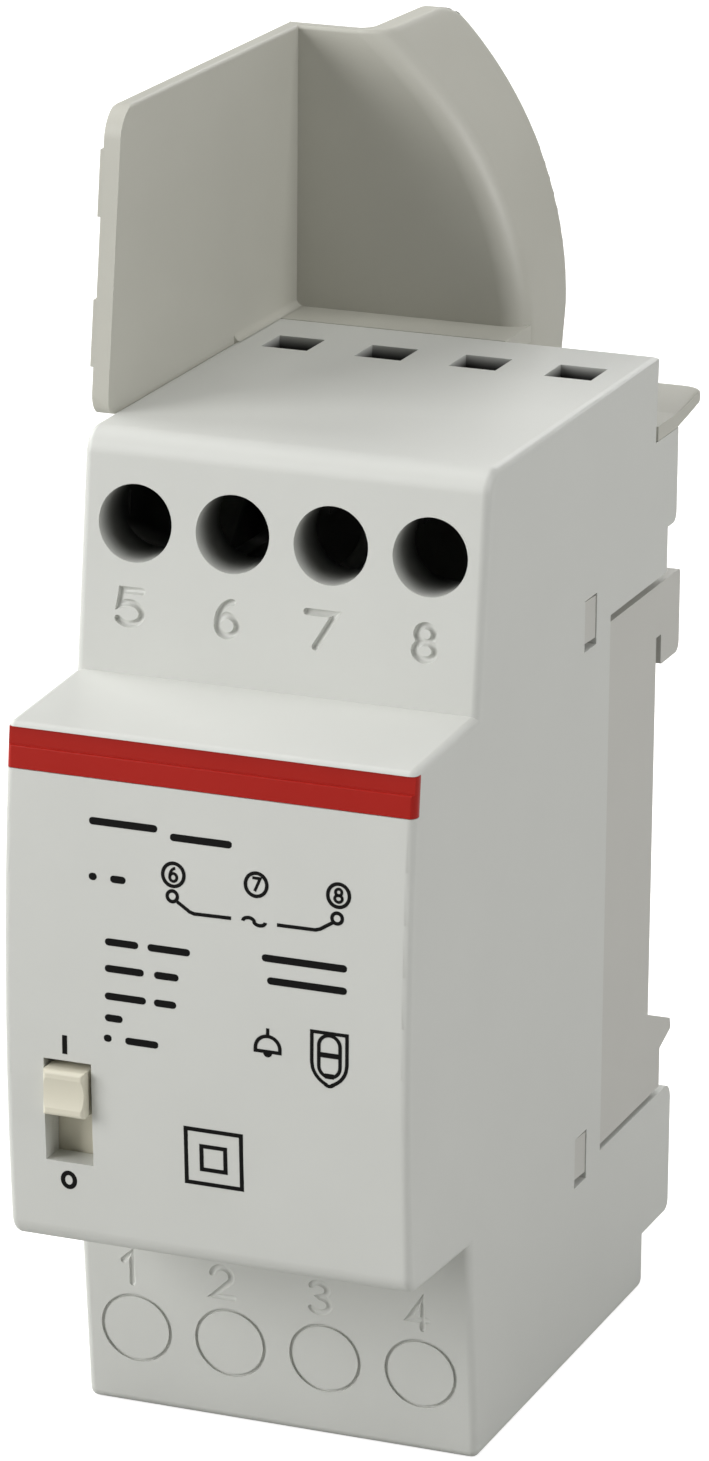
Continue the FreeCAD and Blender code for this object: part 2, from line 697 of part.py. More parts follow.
def shield_bend(left, foot_z):
    """Back wall and flange as one rounded section, straight at the foot and turned about the arc above."""
    right = SHIELD_ARC_X + SHIELD_ARC_RADIUS
    wall_back = SHIELD_WALL_Y + SHIELD_WALL
    section = outline([
        (left, SHIELD_WALL_Y, 0),
        (right, SHIELD_WALL_Y, SHIELD_ROUND),
        (right, SHIELD_FLANGE_BACK, SHIELD_WALL / 3),
        (right - SHIELD_WALL, SHIELD_FLANGE_BACK, SHIELD_WALL / 3),
        (right - SHIELD_WALL, wall_back, SHIELD_ROUND - SHIELD_WALL),
        (left, wall_back, 0),
    ], lambda p: Vector(p.x, p.y, HALF_BODY))
    foot = section.extrude(Vector(0, 0, foot_z - HALF_BODY))
    turned = section.revolve(Vector(SHIELD_ARC_X, 0, HALF_BODY), Vector(0, -1, 0), 90)
    kept = box((left, right), (SHIELD_WALL_Y, SHIELD_FLANGE_BACK), (HALF_BODY, SHIELD_TOP))
    return foot.fuse(turned.common(kept))


def wire_shield():
    """Partition over the top: left plate, back wall, curved flange, foot and plug tabs."""
    inner_x = -HALF_WIDTH - FIT_GAP / 2
    outer_x = inner_x - SHIELD_WALL
    wall_back = SHIELD_WALL_Y + SHIELD_WALL
    plate_bottom = HALF_BODY - SEAT_GAP
    plate = side_prism([
        (SHIELD_PLATE_FRONT, plate_bottom, SHIELD_WALL),
        (SHIELD_PLATE_FRONT + SHIELD_PLATE_LEAN, SHIELD_TOP, 2 * SHIELD_WALL),
        (wall_back, SHIELD_TOP, 0),
        (wall_back, plate_bottom, 0),
    ], (outer_x, inner_x))
    foot_z = UPPER_CHEEK_TOP + FIT_GAP
    right = SHIELD_ARC_X + SHIELD_ARC_RADIUS
    front = -TOP_BACK_INSET + SEAT_GAP
    fin_z = UPPER_CHEEK_TOP + SEAT_GAP
    tip_z = fin_z + SHIELD_FIN_RISE
    fin = side_prism([
        (front, fin_z, 0),
        (SHIELD_WALL_Y, fin_z, 0),
        (SHIELD_FIN_BACK, tip_z, SHIELD_FIN_ROUND),
        (SHIELD_FIN_BACK, tip_z + SHIELD_FIN_TIP, SHIELD_FIN_ROUND),
        (SHIELD_WALL_Y, fin_z + SHIELD_FIN, 0),
        (front, fin_z + SHIELD_FIN, 0),
    ], (right - SHIELD_WALL, HALF_WIDTH))
    floor_y = (front, wall_back)
    floor = box((-HALF_WIDTH, right), floor_y, (HALF_BODY - SHIELD_WALL, HALF_BODY))
    web_back = SHIELD_WALL_Y - SLIDE_GAP - SHIELD_WALL / 2
    web_y = (web_back - SHIELD_WALL, web_back)
    web = box((-BASE_HALF, right), web_y, (foot_z, HALF_BODY - SHIELD_WALL / 2))
    gusset_z = HALF_BODY + SEAT_GAP
    gusset_y = (SHIELD_GUSSET_FRONT, wall_back)
    root_x = inner_x - SHIELD_WALL / 2
    gusset = box((root_x, inner_x + SHIELD_GUSSET), gusset_y, (gusset_z, gusset_z + SHIELD_GUSSET))
    gusset = gusset.cut(rod_y(inner_x + SHIELD_GUSSET, gusset_z + SHIELD_GUSSET, SHIELD_GUSSET, gusset_y))
    pieces = [plate, shield_bend(outer_x, foot_z), fin, floor, web, gusset]
    lean = SHIELD_PLATE_LEAN / (SHIELD_TOP - plate_bottom)
    pad_x = (outer_x - SHIELD_PAD, outer_x + SHIELD_WALL / 2)
    for z in SHIELD_PADS:
        top = z + SHIELD_PAD_HEIGHT
        bottom_front = SHIELD_PLATE_FRONT + SEAT_GAP + lean * (z - plate_bottom)
        top_front = SHIELD_PLATE_FRONT + SEAT_GAP + lean * (top - plate_bottom)
        corners = sharp((bottom_front, z), (top_front, top), (SHIELD_WALL_Y, top), (SHIELD_WALL_Y, z))
        pieces.append(side_prism(corners, pad_x))
    pieces += [shield_tab(x, 0) for x in SHIELD_TABS]
    return fuse_all(pieces)


def switch_button():
    """Slide button: a dished cap between two lips, a shutter behind the slot and a stem."""
    half = BUTTON_WIDTH / 2
    front = -DEPTH - BUTTON_PROUD
    back = SWITCH_FRONT + SLIDE_GAP
    bottom = BUTTON_TOP - BUTTON_HEIGHT
    cap = box((SWITCH_X - half, SWITCH_X + half), (front, back + SHUTTER / 2), (bottom, BUTTON_TOP))
    cap = round_edges(cap, BUTTON_ROUND, lambda edge: abs(middle_of(edge).y - front) < NEAR)
    dish_radius = ((BUTTON_DISH_HEIGHT / 2) ** 2 + BUTTON_DISH ** 2) / (2 * BUTTON_DISH)
    dish_axis = Vector(-WIDTH, front + BUTTON_DISH - dish_radius, BUTTON_Z)
    cap = cap.cut(Part.makeCylinder(dish_radius, WIDTH, dish_axis, Vector(1, 0, 0)))
    stem_x = (SWITCH_X - STEM_WIDTH / 2, SWITCH_X + STEM_WIDTH / 2)
    stem_z = (BUTTON_Z - STEM_HEIGHT / 2, BUTTON_Z + STEM_HEIGHT / 2)
    stem = box(stem_x, (back, bridge_front()), stem_z)
    shutter_half = SWITCH_SLOT_WIDTH / 2 + SHUTTER_LAP
    shutter_z = (SWITCH_SLOT_BOTTOM - SHUTTER_LAP, SWITCH_SLOT_TOP + SWITCH_TRAVEL + SHUTTER_LAP)
    shutter = box((SWITCH_X - shutter_half, SWITCH_X + shutter_half), (back, back + SHUTTER), shutter_z)
    return fuse_all([cap, shutter, stem])


def switch_body():
    """Open-fronted switch case with a slot for the stem and two passages for the contacts."""
    half = SWITCH_BODY_WIDTH / 2
    back = SWITCH_CASE_FRONT + SWITCH_BODY_DEPTH
    top = SWITCH_SLOT_TOP + SWITCH_BODY_MARGIN
    bottom = SWITCH_SLOT_BOTTOM - SWITCH_BODY_MARGIN
    case = box((SWITCH_X - half, SWITCH_X + half), (SWITCH_CASE_FRONT, back), (bottom, top))
    room_half = half - SWITCH_WALL
    room_y = (SWITCH_CASE_FRONT + SWITCH_WALL, back - SWITCH_WALL)
    room_z = (bottom + SWITCH_WALL, top - SWITCH_WALL)
    room = box((SWITCH_X - room_half, SWITCH_X + room_half), room_y, room_z)
    slot_half = STEM_WIDTH / 2 + SLIDE_GAP
    slot_x = (SWITCH_X - slot_half, SWITCH_X + slot_half)
    slot_top = BUTTON_Z + STEM_HEIGHT / 2 + SLIDE_GAP
    slot_bottom = BUTTON_Z - STEM_HEIGHT / 2 - SWITCH_TRAVEL - SLIDE_GAP
    slot_y = (SWITCH_CASE_FRONT - OVERCUT, SWITCH_CASE_FRONT + 2 * SWITCH_WALL)
    stem_slot = box(slot_x, slot_y, (slot_bottom, slot_top))
    case = case.cut(room).cut(stem_slot)
    for side in (-1, 1):
        case = case.cut(contact_blade(side, SEAT_GAP))
    return case


def bridge_front():
    """Depth of the back end of the button's stem, where the bridge sits."""
    return SWITCH_CASE_FRONT - SLIDE_GAP + STEM_LENGTH


def switch_bridge():
    """Contact strip on the end of the stem."""
    half = (CONTACT_SPACING + CONTACT_WIDTH) / 2
    front = bridge_front()
    return box((SWITCH_X - half, SWITCH_X + half), (front, front + BRIDGE_THICKNESS),
               (BUTTON_Z - STEM_HEIGHT / 2, BUTTON_Z + STEM_HEIGHT / 2))


def contact_blade(side, gap):
    """Fixed contact with its lug through the back of the switch, or with a gap the passage for it."""
    x = SWITCH_X + side * CONTACT_SPACING / 2
    half = CONTACT_WIDTH / 2
    front = bridge_front() + BRIDGE_THICKNESS + SLIDE_GAP / 2
    case_back = SWITCH_CASE_FRONT + SWITCH_BODY_DEPTH
    lug = box((x - half - gap, x + half + gap), (front, case_back + LUG_LENGTH),
              (BUTTON_Z - LUG_HEIGHT / 2 - gap, BUTTON_Z + LUG_HEIGHT / 2 + gap))
    if gap:
        return lug
    pad = box((x - half, x + half), (front, front + CONTACT_THICKNESS),
              (BUTTON_Z - CONTACT_HEIGHT / 2, BUTTON_Z + CONTACT_HEIGHT / 2))
    return pad.fuse(lug).removeSplitter()


def core_e_stack():
    """E laminations: a yoke at the back and three legs."""
    half = CORE_STACK / 2
    yoke = box((-half, half), (CORE_YOKE_FRONT, CORE_BACK), (-CORE_HALF, CORE_HALF))
    legs = [yoke]
    for low, high in ((-3, -2), (-1, 1), (2, 3)):
        legs.append(box((-half, half), (CORE_LEG_END, CORE_YOKE_FRONT), (low * CORE_LEG, high * CORE_LEG)))
    return fuse_all(legs)


def core_i_stack():
    """I laminations across the ends of the legs."""
    half = CORE_STACK / 2
    return box((-half, half), (CORE_LEG_END - CORE_LEG, CORE_LEG_END), (-CORE_HALF, CORE_HALF))


def bobbin_tube(margin):
    """Rounded section of the bobbin tube grown by margin, as half sizes in X and Z."""
    return CORE_STACK / 2 + FIT_GAP + margin, CORE_LEG + FIT_GAP + margin


def frame_corners(half_x, half_z, radius):
    """Four rounded corners of a rectangle about the middle axis."""
    signs = ((1, 1), (-1, 1), (-1, -1), (1, -1))
    return [(x * half_x, z * half_z, radius) for x, z in signs]


def flange_places():
    """Depth spans of the rear, middle and front flanges."""
    rear = CORE_YOKE_FRONT - FIT_GAP
    front = CORE_LEG_END + FIT_GAP
    middle = (rear + front) / 2
    half = BOBBIN_FLANGE / 2
    return [(rear - BOBBIN_FLANGE, rear), (middle - half, middle + half), (front, front + BOBBIN_FLANGE)]


def flange_half_z():
    """Half height of a flange inside the core window."""
    return 2 * CORE_LEG - SLIDE_GAP


def bobbin():
    """Two-chamber coil former on the middle leg."""
    inner_x, inner_z = bobbin_tube(0)
    outer_x, outer_z = bobbin_tube(BOBBIN_WALL)
    spans = flange_places()
    length = (spans[2][0], spans[0][1])
    former = [front_prism(frame_corners(outer_x, outer_z, BOBBIN_WALL), length)]
    flange = frame_corners(BOBBIN_FLANGE_WIDTH / 2, flange_half_z(), BOBBIN_WALL)
    for span in spans:
        former.append(front_prism(flange, span))
    bore = front_prism(frame_corners(inner_x, inner_z, 0), (length[0] - OVERCUT, length[1] + OVERCUT))
    return fuse_all(former).cut(bore)


def winding(chamber):
    """Coil that fills one chamber of the bobbin."""
    spans = flange_places()
    gap = SEAT_GAP
    length = (spans[chamber + 1][1] + gap, spans[chamber][0] - gap)
    half_x = BOBBIN_FLANGE_WIDTH / 2 - WINDING_INSET
    half_z = flange_half_z() - WINDING_INSET
    coil = front_prism(frame_corners(half_x, half_z, WINDING_ROUND), length)
    inner_x, inner_z = bobbin_tube(BOBBIN_WALL + gap)
    bore_y = (length[0] - OVERCUT, length[1] + OVERCUT)
    bore = front_prism(frame_corners(inner_x, inner_z, BOBBIN_WALL), bore_y)
    return coil.cut(bore)


def cutout_axis():
    """Height of the thermal cut-out lying on the primary coil."""
    return flange_half_z() - WINDING_INSET + CUTOUT_RADIUS + SEAT_GAP


def cutout_span():
    """Depth span of the thermal cut-out, centred on the primary coil."""
    spans = flange_places()
    middle = (spans[1][1] + spans[0][0]) / 2
    return middle - CUTOUT_LENGTH / 2, middle + CUTOUT_LENGTH / 2


def thermal_cutout():
    """Round thermal cut-out with a wire tail at each end."""
    z = cutout_axis()
    front, back = cutout_span()
    body = rod_y(CUTOUT_X, z, CUTOUT_RADIUS, (front, back))
    tail = rod_y(CUTOUT_X, z, CUTOUT_LEAD_RADIUS, (front - CUTOUT_RADIUS, back + CUTOUT_LEAD_RADIUS))
    return body.fuse(tail).removeSplitter()


def terminal_clamp(x, z):
    """Cage clamp: a square tube open to the wire, with a thick threaded front wall."""
    half = CLAMP_WIDTH / 2
    height = (z - CLAMP_HEIGHT / 2, z + CLAMP_HEIGHT / 2)
    cage = box((x - half, x + half), (CLAMP_FRONT, CLAMP_BACK), height)
    cage = round_edges(cage, CLAMP_SIDE_WALL / 2, lambda edge: abs(middle_of(edge).z - z) < NEAR)
    inner = half - CLAMP_SIDE_WALL
    wall_back = CLAMP_FRONT + CLAMP_FRONT_WALL
    room_y = (wall_back, CLAMP_BACK - CLAMP_SIDE_WALL)
    room = box((x - inner, x + inner), room_y, (height[0] - OVERCUT, height[1] + OVERCUT))
    thread = rod_y(x, z, SCREW_RADIUS + SEAT_GAP, (CLAMP_FRONT - OVERCUT, wall_back + OVERCUT))
    return cage.cut(room).cut(thread)


def terminal_screw(x, z):
    """Slotted clamp screw, backed out ready for a wire."""
    head_back = CLAMP_FRONT - SCREW_LIFT
    head_front = head_back - SCREW_HEAD_HEIGHT
    head = rod_y(x, z, SCREW_HEAD_RADIUS, (head_front, head_back))
    shank = rod_y(x, z, SCREW_RADIUS, (head_back, head_front + SCREW_LENGTH))
    slot_y = (head_front - OVERCUT, head_front + SCREW_SLOT_DEPTH)
    slot_x = (x - SCREW_HEAD_RADIUS, x + SCREW_HEAD_RADIUS)
    slot = box(slot_x, slot_y, (z - SCREW_SLOT / 2, z + SCREW_SLOT / 2))
    return head.fuse(shank).cut(slot).removeSplitter()


def lead(points):
    """Insulated wire along straight runs joined by tangent arcs."""
    points = [Vector(*point) for point in points]
    edges = []
    start = points[0]
    for before, here, after in zip(points, points[1:], points[2:]):
        back = (before - here).normalize()
        ahead = (after - here).normalize()
        half_angle = back.getAngle(ahead) / 2
        reach = LEAD_BEND_SHARE * min(before.distanceToPoint(here), here.distanceToPoint(after))
        radius = reach * math.tan(half_angle)
        middle = here + (back + ahead).normalize() * (radius / math.sin(half_angle) - radius)
        edges.append(Part.makeLine(start, here + back * reach))
        edges.append(Part.Arc(here + back * reach, middle, here + ahead * reach).toShape())
        start = here + ahead * reach
    edges.append(Part.makeLine(start, points[-1]))
    path = Part.Wire(edges)
    direction = (points[1] - points[0]).normalize()
    section = Part.Wire(Part.makeCircle(LEAD_RADIUS, points[0], direction))
    return path.makePipeShell([section], True, True)


def lead_routes():
    """Route of each inner wire between the switch, the coils and the clamps."""
    lug_end = SWITCH_CASE_FRONT + SWITCH_BODY_DEPTH + LUG_LENGTH
    line_x = SWITCH_X - CONTACT_SPACING / 2
    load_x = SWITCH_X + CONTACT_SPACING / 2
    clamp_y = CLAMP_FRONT + CLAMP_FRONT_WALL / 2
    clamp_z = TERMINAL_Z - CLAMP_HEIGHT / 2
    coil_z = flange_half_z() - WINDING_INSET
    spans = flange_places()
    primary_y = (spans[1][1] + spans[0][0]) / 2
    secondary_y = (spans[2][1] + spans[1][0]) / 2
    cut_z = cutout_axis()
    cut_y = cutout_span()[0] - CUTOUT_RADIUS
    x1, x2, _, x4 = TERMINAL_X
    return {
        "lead_line": [
            (line_x, lug_end, BUTTON_Z), (line_x, lug_end + 4, BUTTON_Z), (line_x, -31, -24),
            (x1, clamp_y, -25.5), (x1, clamp_y, -clamp_z)],
        "lead_switched": [
            (load_x, lug_end, BUTTON_Z), (load_x, lug_end + 3, BUTTON_Z), (8, -42.5, 12),
            (CUTOUT_X, -36, cut_z), (CUTOUT_X, cut_y, cut_z)],
        "lead_neutral": [
            (CUTOUT_X, primary_y, -coil_z), (CUTOUT_X, primary_y, -19), (x4, clamp_y, -26),
            (x4, clamp_y, -clamp_z)],
        "lead_secondary_a": [
            (-CUTOUT_X, secondary_y, coil_z), (-CUTOUT_X, secondary_y, 20), (x2, clamp_y, 26.5),
            (x2, clamp_y, clamp_z)],
        "lead_secondary_b": [
            (LEAD_SECONDARY_X, secondary_y, coil_z), (LEAD_SECONDARY_X, secondary_y, 20),
            (x4, clamp_y, 26.5), (x4, clamp_y, clamp_z)],
    }


def build():
    """Every node's solid by name."""
    nodes = {
        "front_cover": front_cover(),
        "rear_base": rear_base(),
        "wire_shield": wire_shield(),
        "red_band": red_band(),
        "switch_button": switch_button(),
        "switch_body": switch_body(),
        "switch_bridge": switch_bridge(),
        "switch_contact_line": contact_blade(-1, 0),
        "switch_contact_load": contact_blade(1, 0),
        "rail_latch": rail_latch(),
        "latch_spring": latch_spring(),
        "core_e_stack": core_e_stack(),
        "core_i_stack": core_i_stack(),
        "bobbin": bobbin(),
        "primary_winding": winding(0),
        "secondary_winding": winding(1),
        "thermal_cutout": thermal_cutout(),
    }
    for index, x in enumerate(TERMINAL_X):
        nodes[f"terminal_clamp_{index + 1}"] = terminal_clamp(x, -TERMINAL_Z)
        nodes[f"terminal_clamp_{index + 5}"] = terminal_clamp(x, TERMINAL_Z)
    nodes["terminal_screws_upper"] = Part.makeCompound([terminal_screw(x, TERMINAL_Z) for x in TERMINAL_X])
    nodes["terminal_screws_lower"] = Part.makeCompound([terminal_screw(x, -TERMINAL_Z) for x in TERMINAL_X])
    for name, route in lead_routes().items():
        nodes[name] = lead(route)
    return nodes


os.makedirs("parts", exist_ok=True)
for name, shape in build().items():
    shape.exportStep(f"parts/{name}.step")
    print(name, len(shape.Solids), round(shape.Volume, 2), shape.isValid())
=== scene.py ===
"""Looks of a doorbell transformer: finishes, engraved and printed marks, camera and light."""

import json
import math

import bmesh
import bpy
import numpy as np
from mathutils import Matrix, Vector


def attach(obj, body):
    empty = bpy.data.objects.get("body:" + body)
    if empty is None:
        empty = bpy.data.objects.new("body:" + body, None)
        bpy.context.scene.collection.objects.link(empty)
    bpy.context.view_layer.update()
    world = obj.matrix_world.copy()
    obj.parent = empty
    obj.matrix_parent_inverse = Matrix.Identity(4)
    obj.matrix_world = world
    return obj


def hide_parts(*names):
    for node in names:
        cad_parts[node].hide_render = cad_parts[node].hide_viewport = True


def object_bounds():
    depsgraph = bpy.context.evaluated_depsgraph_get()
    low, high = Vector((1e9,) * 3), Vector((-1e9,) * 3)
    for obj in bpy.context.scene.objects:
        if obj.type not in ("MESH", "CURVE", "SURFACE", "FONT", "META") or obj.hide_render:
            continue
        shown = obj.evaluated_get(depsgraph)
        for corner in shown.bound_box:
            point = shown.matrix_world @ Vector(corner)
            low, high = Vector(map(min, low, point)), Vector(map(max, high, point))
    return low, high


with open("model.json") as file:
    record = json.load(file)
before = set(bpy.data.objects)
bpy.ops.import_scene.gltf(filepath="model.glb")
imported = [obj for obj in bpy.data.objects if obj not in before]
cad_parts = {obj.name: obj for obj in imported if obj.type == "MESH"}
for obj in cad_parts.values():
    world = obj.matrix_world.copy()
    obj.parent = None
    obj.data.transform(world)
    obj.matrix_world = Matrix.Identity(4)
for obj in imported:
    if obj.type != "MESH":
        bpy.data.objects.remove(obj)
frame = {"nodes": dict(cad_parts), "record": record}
CAD_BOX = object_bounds()
NODES = frame["nodes"]
SLOT_OF = {part["node"]: part["material_slot"] for part in frame["record"]["subparts"]}
MM = 0.001


# Places read off the cover

def cover_front(x, z):
    """Depth of the cover's front where a ray from the front at x, z in millimetres meets it."""
    _, point, _, _ = NODES["front_cover"].ray_cast(Vector((x * MM, -1, z * MM)), Vector((0, 1, 0)))
    return point.y / MM


NOSE_PLAIN_X = 15.0
NOSE_CHORD = 12.0
NOSE_Y = cover_front(NOSE_PLAIN_X, 0)
NOSE_SAG = cover_front(NOSE_PLAIN_X, NOSE_CHORD) - NOSE_Y
NOSE_RADIUS = (NOSE_CHORD**2 + NOSE_SAG**2) / (2 * NOSE_SAG)
FACE_LOW, FACE_HIGH = 26.0, 40.0
FACE_Y = cover_front(0, FACE_LOW)
FACE_SLOPE = (cover_front(0, FACE_HIGH) - FACE_Y) / (FACE_HIGH - FACE_LOW)
TERMINAL_X = np.array([-13.125, -4.375, 4.375, 13.125])
TERMINAL_Z = 36.0
WELL_RADIUS = 3.3
WELL_END = -38.5
COVER_TOP = 43.5
# Wire entries in the top: half their width, their middle, how far down they go and how deep the painted shade
# goes before their walls are fully dark
ENTRY_HALF, ENTRY_Y, ENTRY_DEPTH, ENTRY_SHADE_DEPTH = 2.15, -9.0, 8.0, 1.0


def on_nose(points):
    """Points x, z, lift laid on the nose, a shallow cylinder across X: y is the nose front plus the circle's
    sag at z, less the lift."""
    x, z, lift = np.moveaxis(points, -1, 0)
    y = NOSE_Y + NOSE_RADIUS - np.sqrt(NOSE_RADIUS**2 - z**2) - lift
    return np.stack([x, y, z], -1)


def on_terminal_face(points):
    """Points x, z, lift laid on the leaning face above or below the nose: y grows with the height off
    the nose, less the lift."""
    x, z, lift = np.moveaxis(points, -1, 0)
    y = FACE_Y + FACE_SLOPE * (np.abs(z) - FACE_LOW) - lift
    return np.stack([x, y, z], -1)


# Shapes from arrays

def ring_faces(rings, around, closed):
    """Quads between neighbouring rings of points; an open run gets a flat cap at each end."""
    ring = np.arange(rings if closed else rings - 1)[:, None]
    spot = np.arange(around)[None, :]
    ahead = (ring + 1) % rings
    beside = (spot + 1) % around
    corners = [ring * around + spot, ring * around + beside, ahead * around + beside, ahead * around + spot]
    faces = np.stack(corners, -1).reshape(-1, 4).tolist()
    if not closed:
        faces += [list(range(around))[::-1], list(range((rings - 1) * around, rings * around))]
    return faces


# Steps of a stroke's round end, and the least cosine that a mitre is drawn out by
END_TURNS = np.radians([84, 60, 30])
MITRE_LEAST = 0.5


def sweep(path, section, closed, end_radius):
    """Carries a section along a path on a face. A section point (across, lift) lands at the path point plus
    the path's mitred normal times across, and stands off the face by lift. A round end shrinks the section as
    a quarter circle."""
    path = np.asarray(path, float)
    shrink = np.ones(len(path))
    if end_radius and not closed:
        reach = end_radius * np.sin(END_TURNS)[:, None]
        start = (path[0] - path[1]) / np.linalg.norm(path[0] - path[1])
        stop = (path[-1] - path[-2]) / np.linalg.norm(path[-1] - path[-2])
        path = np.concatenate([path[0] + start * reach, path, path[-1] + stop * reach[::-1]])
        shrink = np.concatenate([np.cos(END_TURNS), shrink, np.cos(END_TURNS[::-1])])
    ahead = np.roll(path, -1, 0) - path
    behind = np.roll(ahead, 1, 0)
    if not closed:
        ahead[-1] = behind[-1]
        behind[0] = ahead[0]
    ahead /= np.linalg.norm(ahead, axis=1, keepdims=True)
    behind /= np.linalg.norm(behind, axis=1, keepdims=True)
    along = ahead + behind
    along /= np.linalg.norm(along, axis=1, keepdims=True)
    mitre = shrink / np.clip((along * ahead).sum(1), MITRE_LEAST, 1)
    normal = np.stack([-along[:, 1], along[:, 0]], 1)
    section = np.asarray(section, float)
    place = path[:, None] + normal[:, None] * (mitre[:, None] * section[:, 0])[..., None]
    lift = shrink[:, None] * section[:, 1]
    points = np.concatenate([place, lift[..., None]], -1)
    return points, ring_faces(len(path), len(section), closed)


def arc(x, z, wide, high, start, end, count=24):
    """Points of an ellipse about x, z from the angle start to the angle end in degrees."""
    turn = np.radians(np.linspace(start, end, count))
    return np.stack([x + wide * np.cos(turn), z + high * np.sin(turn)], 1)


def loop(x, z, wide, high, count=40):
    """Points once round an ellipse, the last one short of the first."""
    return arc(x, z, wide, high, 0, 360 * (count - 1) / count, count)


def show(name, data):
    """A new object in the scene."""
    thing = bpy.data.objects.new(name, data)
    bpy.context.scene.collection.objects.link(thing)
    return thing


def new_piece(name, solids, finish=None):
    """One mesh from several closed solids given as points in millimetres and faces; with a finish it is
    a piece of the housing."""
    points, faces, count = [], [], 0
    for corners, sides in solids:
        corners = corners.reshape(-1, 3)
        points.append(corners)
        faces += [[corner + count for corner in side] for side in sides]
        count += len(corners)
    mesh = bpy.data.meshes.new(name)
    mesh.from_pydata(np.concatenate(points) * MM, [], faces)
    work = bmesh.new()
    work.from_mesh(mesh)
    bmesh.ops.recalc_face_normals(work, faces=work.faces)
    work.to_mesh(mesh)
    work.free()
    piece = show(name, mesh)
    if finish:
        mesh.materials.append(finish)
        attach(piece, "housing")
    return piece


# Finishes

def linear(colour):
    """Linear RGBA of an sRGB hex colour."""
    part = np.array([int(colour[i:i + 2], 16) for i in (1, 3, 5)]) / 255
    part = np.where(part <= 0.04045, part / 12.92, ((part + 0.055) / 1.055) ** 2.4)
    return (*part, 1.0)


def add_node(tree, kind, settings=None, links=None):
    """Adds a node: a setting goes to the input of that name or number, or else to the node itself; a link
    joins a socket to an input."""
    node = tree.nodes.new(kind)
    for name, value in (settings or {}).items():
        if isinstance(name, int) or name in node.inputs:
            node.inputs[name].default_value = value
        else:
            setattr(node, name, value)
    for name, socket in (links or {}).items():
        tree.links.new(socket, node.inputs[name])
    return node


def empty_tree(block):
    """The emptied node tree of a material or world."""
    block.use_nodes = True
    block.node_tree.nodes.clear()
    return block.node_tree


def new_finish(name):
    """An empty node material, its tree and Object coordinates in metres."""
    finish = bpy.data.materials.new(name)
    tree = empty_tree(finish)
    return finish, tree, add_node(tree, "ShaderNodeTexCoord").outputs["Object"]


def noise(tree, size, detail, place):
    """Outputs of a cloud whose spots are about a size in millimetres."""
    settings = {"Scale": 1 / (size * MM), "Detail": detail}
    return add_node(tree, "ShaderNodeTexNoise", settings, {"Vector": place}).outputs


def two_tone(tree, low, high, share):
    """A colour that goes from one hex colour to another as share grows from 0 to 1."""
    settings = {"Color1": linear(low), "Color2": linear(high)}
    return add_node(tree, "ShaderNodeMixRGB", settings, {"Fac": share}).outputs["Color"]


def between(tree, low, high, share):
    """A number that goes from low to high as share grows from 0 to 1."""
    settings = {"To Min": low, "To Max": high}
    return add_node(tree, "ShaderNodeMapRange", settings, {"Value": share}).outputs["Result"]


def bumpy(tree, strength, depth, height):
    """A normal that follows a height; its depth is in millimetres."""
    settings = {"Strength": strength, "Distance": depth * MM}
    return add_node(tree, "ShaderNodeBump", settings, {"Height": height}).outputs["Normal"]


def surface(tree, settings, links):
    """Ends a finish with its shader and output."""
    shader = add_node(tree, "ShaderNodeBsdfPrincipled", settings, links)
    add_node(tree, "ShaderNodeOutputMaterial", {}, {"Surface": shader.outputs["BSDF"]})


PLASTIC_IOR = 1.53
# Size of the flow's clouds in millimetres, and how far the gloss strays from its middle with them
FLOW_SIZE, FLOW_GLOSS = 9.0, 0.05
# Painted shade in deep holes: its colour, the level that a wall's own colour falls to there, and the power of
# the fade
RECESS_SHADE_COLOUR, RECESS_LEVEL, RECESS_POWER = "#0c0c0a", 0.12, 1.6
# How much rougher the dull marks of a metal are than its middle, and how much smoother the bright ones
METAL_DULL, METAL_BRIGHT = 0.12, 0.08
# Size of the uneven spots on bands in millimetres, and their share in the colour
CLOUD_SIZE, CLOUD_SHARE = 2.5, 0.35


def moulded(name, colour, deep, rough, grain, depth, shine=0.5):
    """Injection-moulded plastic: the mould's fine grain as a bump, a faint cloud of flow in colour and gloss,
    and painted shade that darkens the walls of deep holes."""
    finish, tree, place = new_finish(name)
    flow = noise(tree, FLOW_SIZE, 3.0, place)["Fac"]
    tone = two_tone(tree, deep, colour, flow)
    # Painted shade: walls of deep holes fade to dark by a depth attribute; where a mesh has no such attribute
    # it reads 0 and the tone stays
    painted_recess_shade = add_node(tree, "ShaderNodeAttribute", {"attribute_name": "painted_recess_shade"}).outputs["Fac"]
    level = between(tree, 1.0, RECESS_LEVEL, painted_recess_shade)
    fade = add_node(tree, "ShaderNodeMath", {"operation": "POWER", 1: RECESS_POWER}, {0: level}).outputs[0]
    shaded = add_node(tree, "ShaderNodeMixRGB", {"Color1": linear(RECESS_SHADE_COLOUR)}, {"Fac": fade, "Color2": tone})
    surface(tree, {"IOR": PLASTIC_IOR, "Specular IOR Level": shine}, {
        "Base Color": shaded.outputs["Color"],
        "Roughness": between(tree, rough - FLOW_GLOSS, rough + FLOW_GLOSS, flow),
        "Normal": bumpy(tree, 0.5, depth, noise(tree, grain, 2.0, place)["Fac"])})
    return finish


def metal(name, colour, dull, rough, spot, depth):
    """Plain or plated metal: small crystals or tool marks in tone and gloss, and a faint bump."""
    finish, tree, place = new_finish(name)
    marks = noise(tree, spot, 4.0, place)["Fac"]
    surface(tree, {"Metallic": 1.0}, {
        "Base Color": two_tone(tree, dull, colour, marks),
        "Roughness": between(tree, rough + METAL_DULL, rough - METAL_BRIGHT, marks),
        "Normal": bumpy(tree, 0.4, depth, marks)})
    return finish


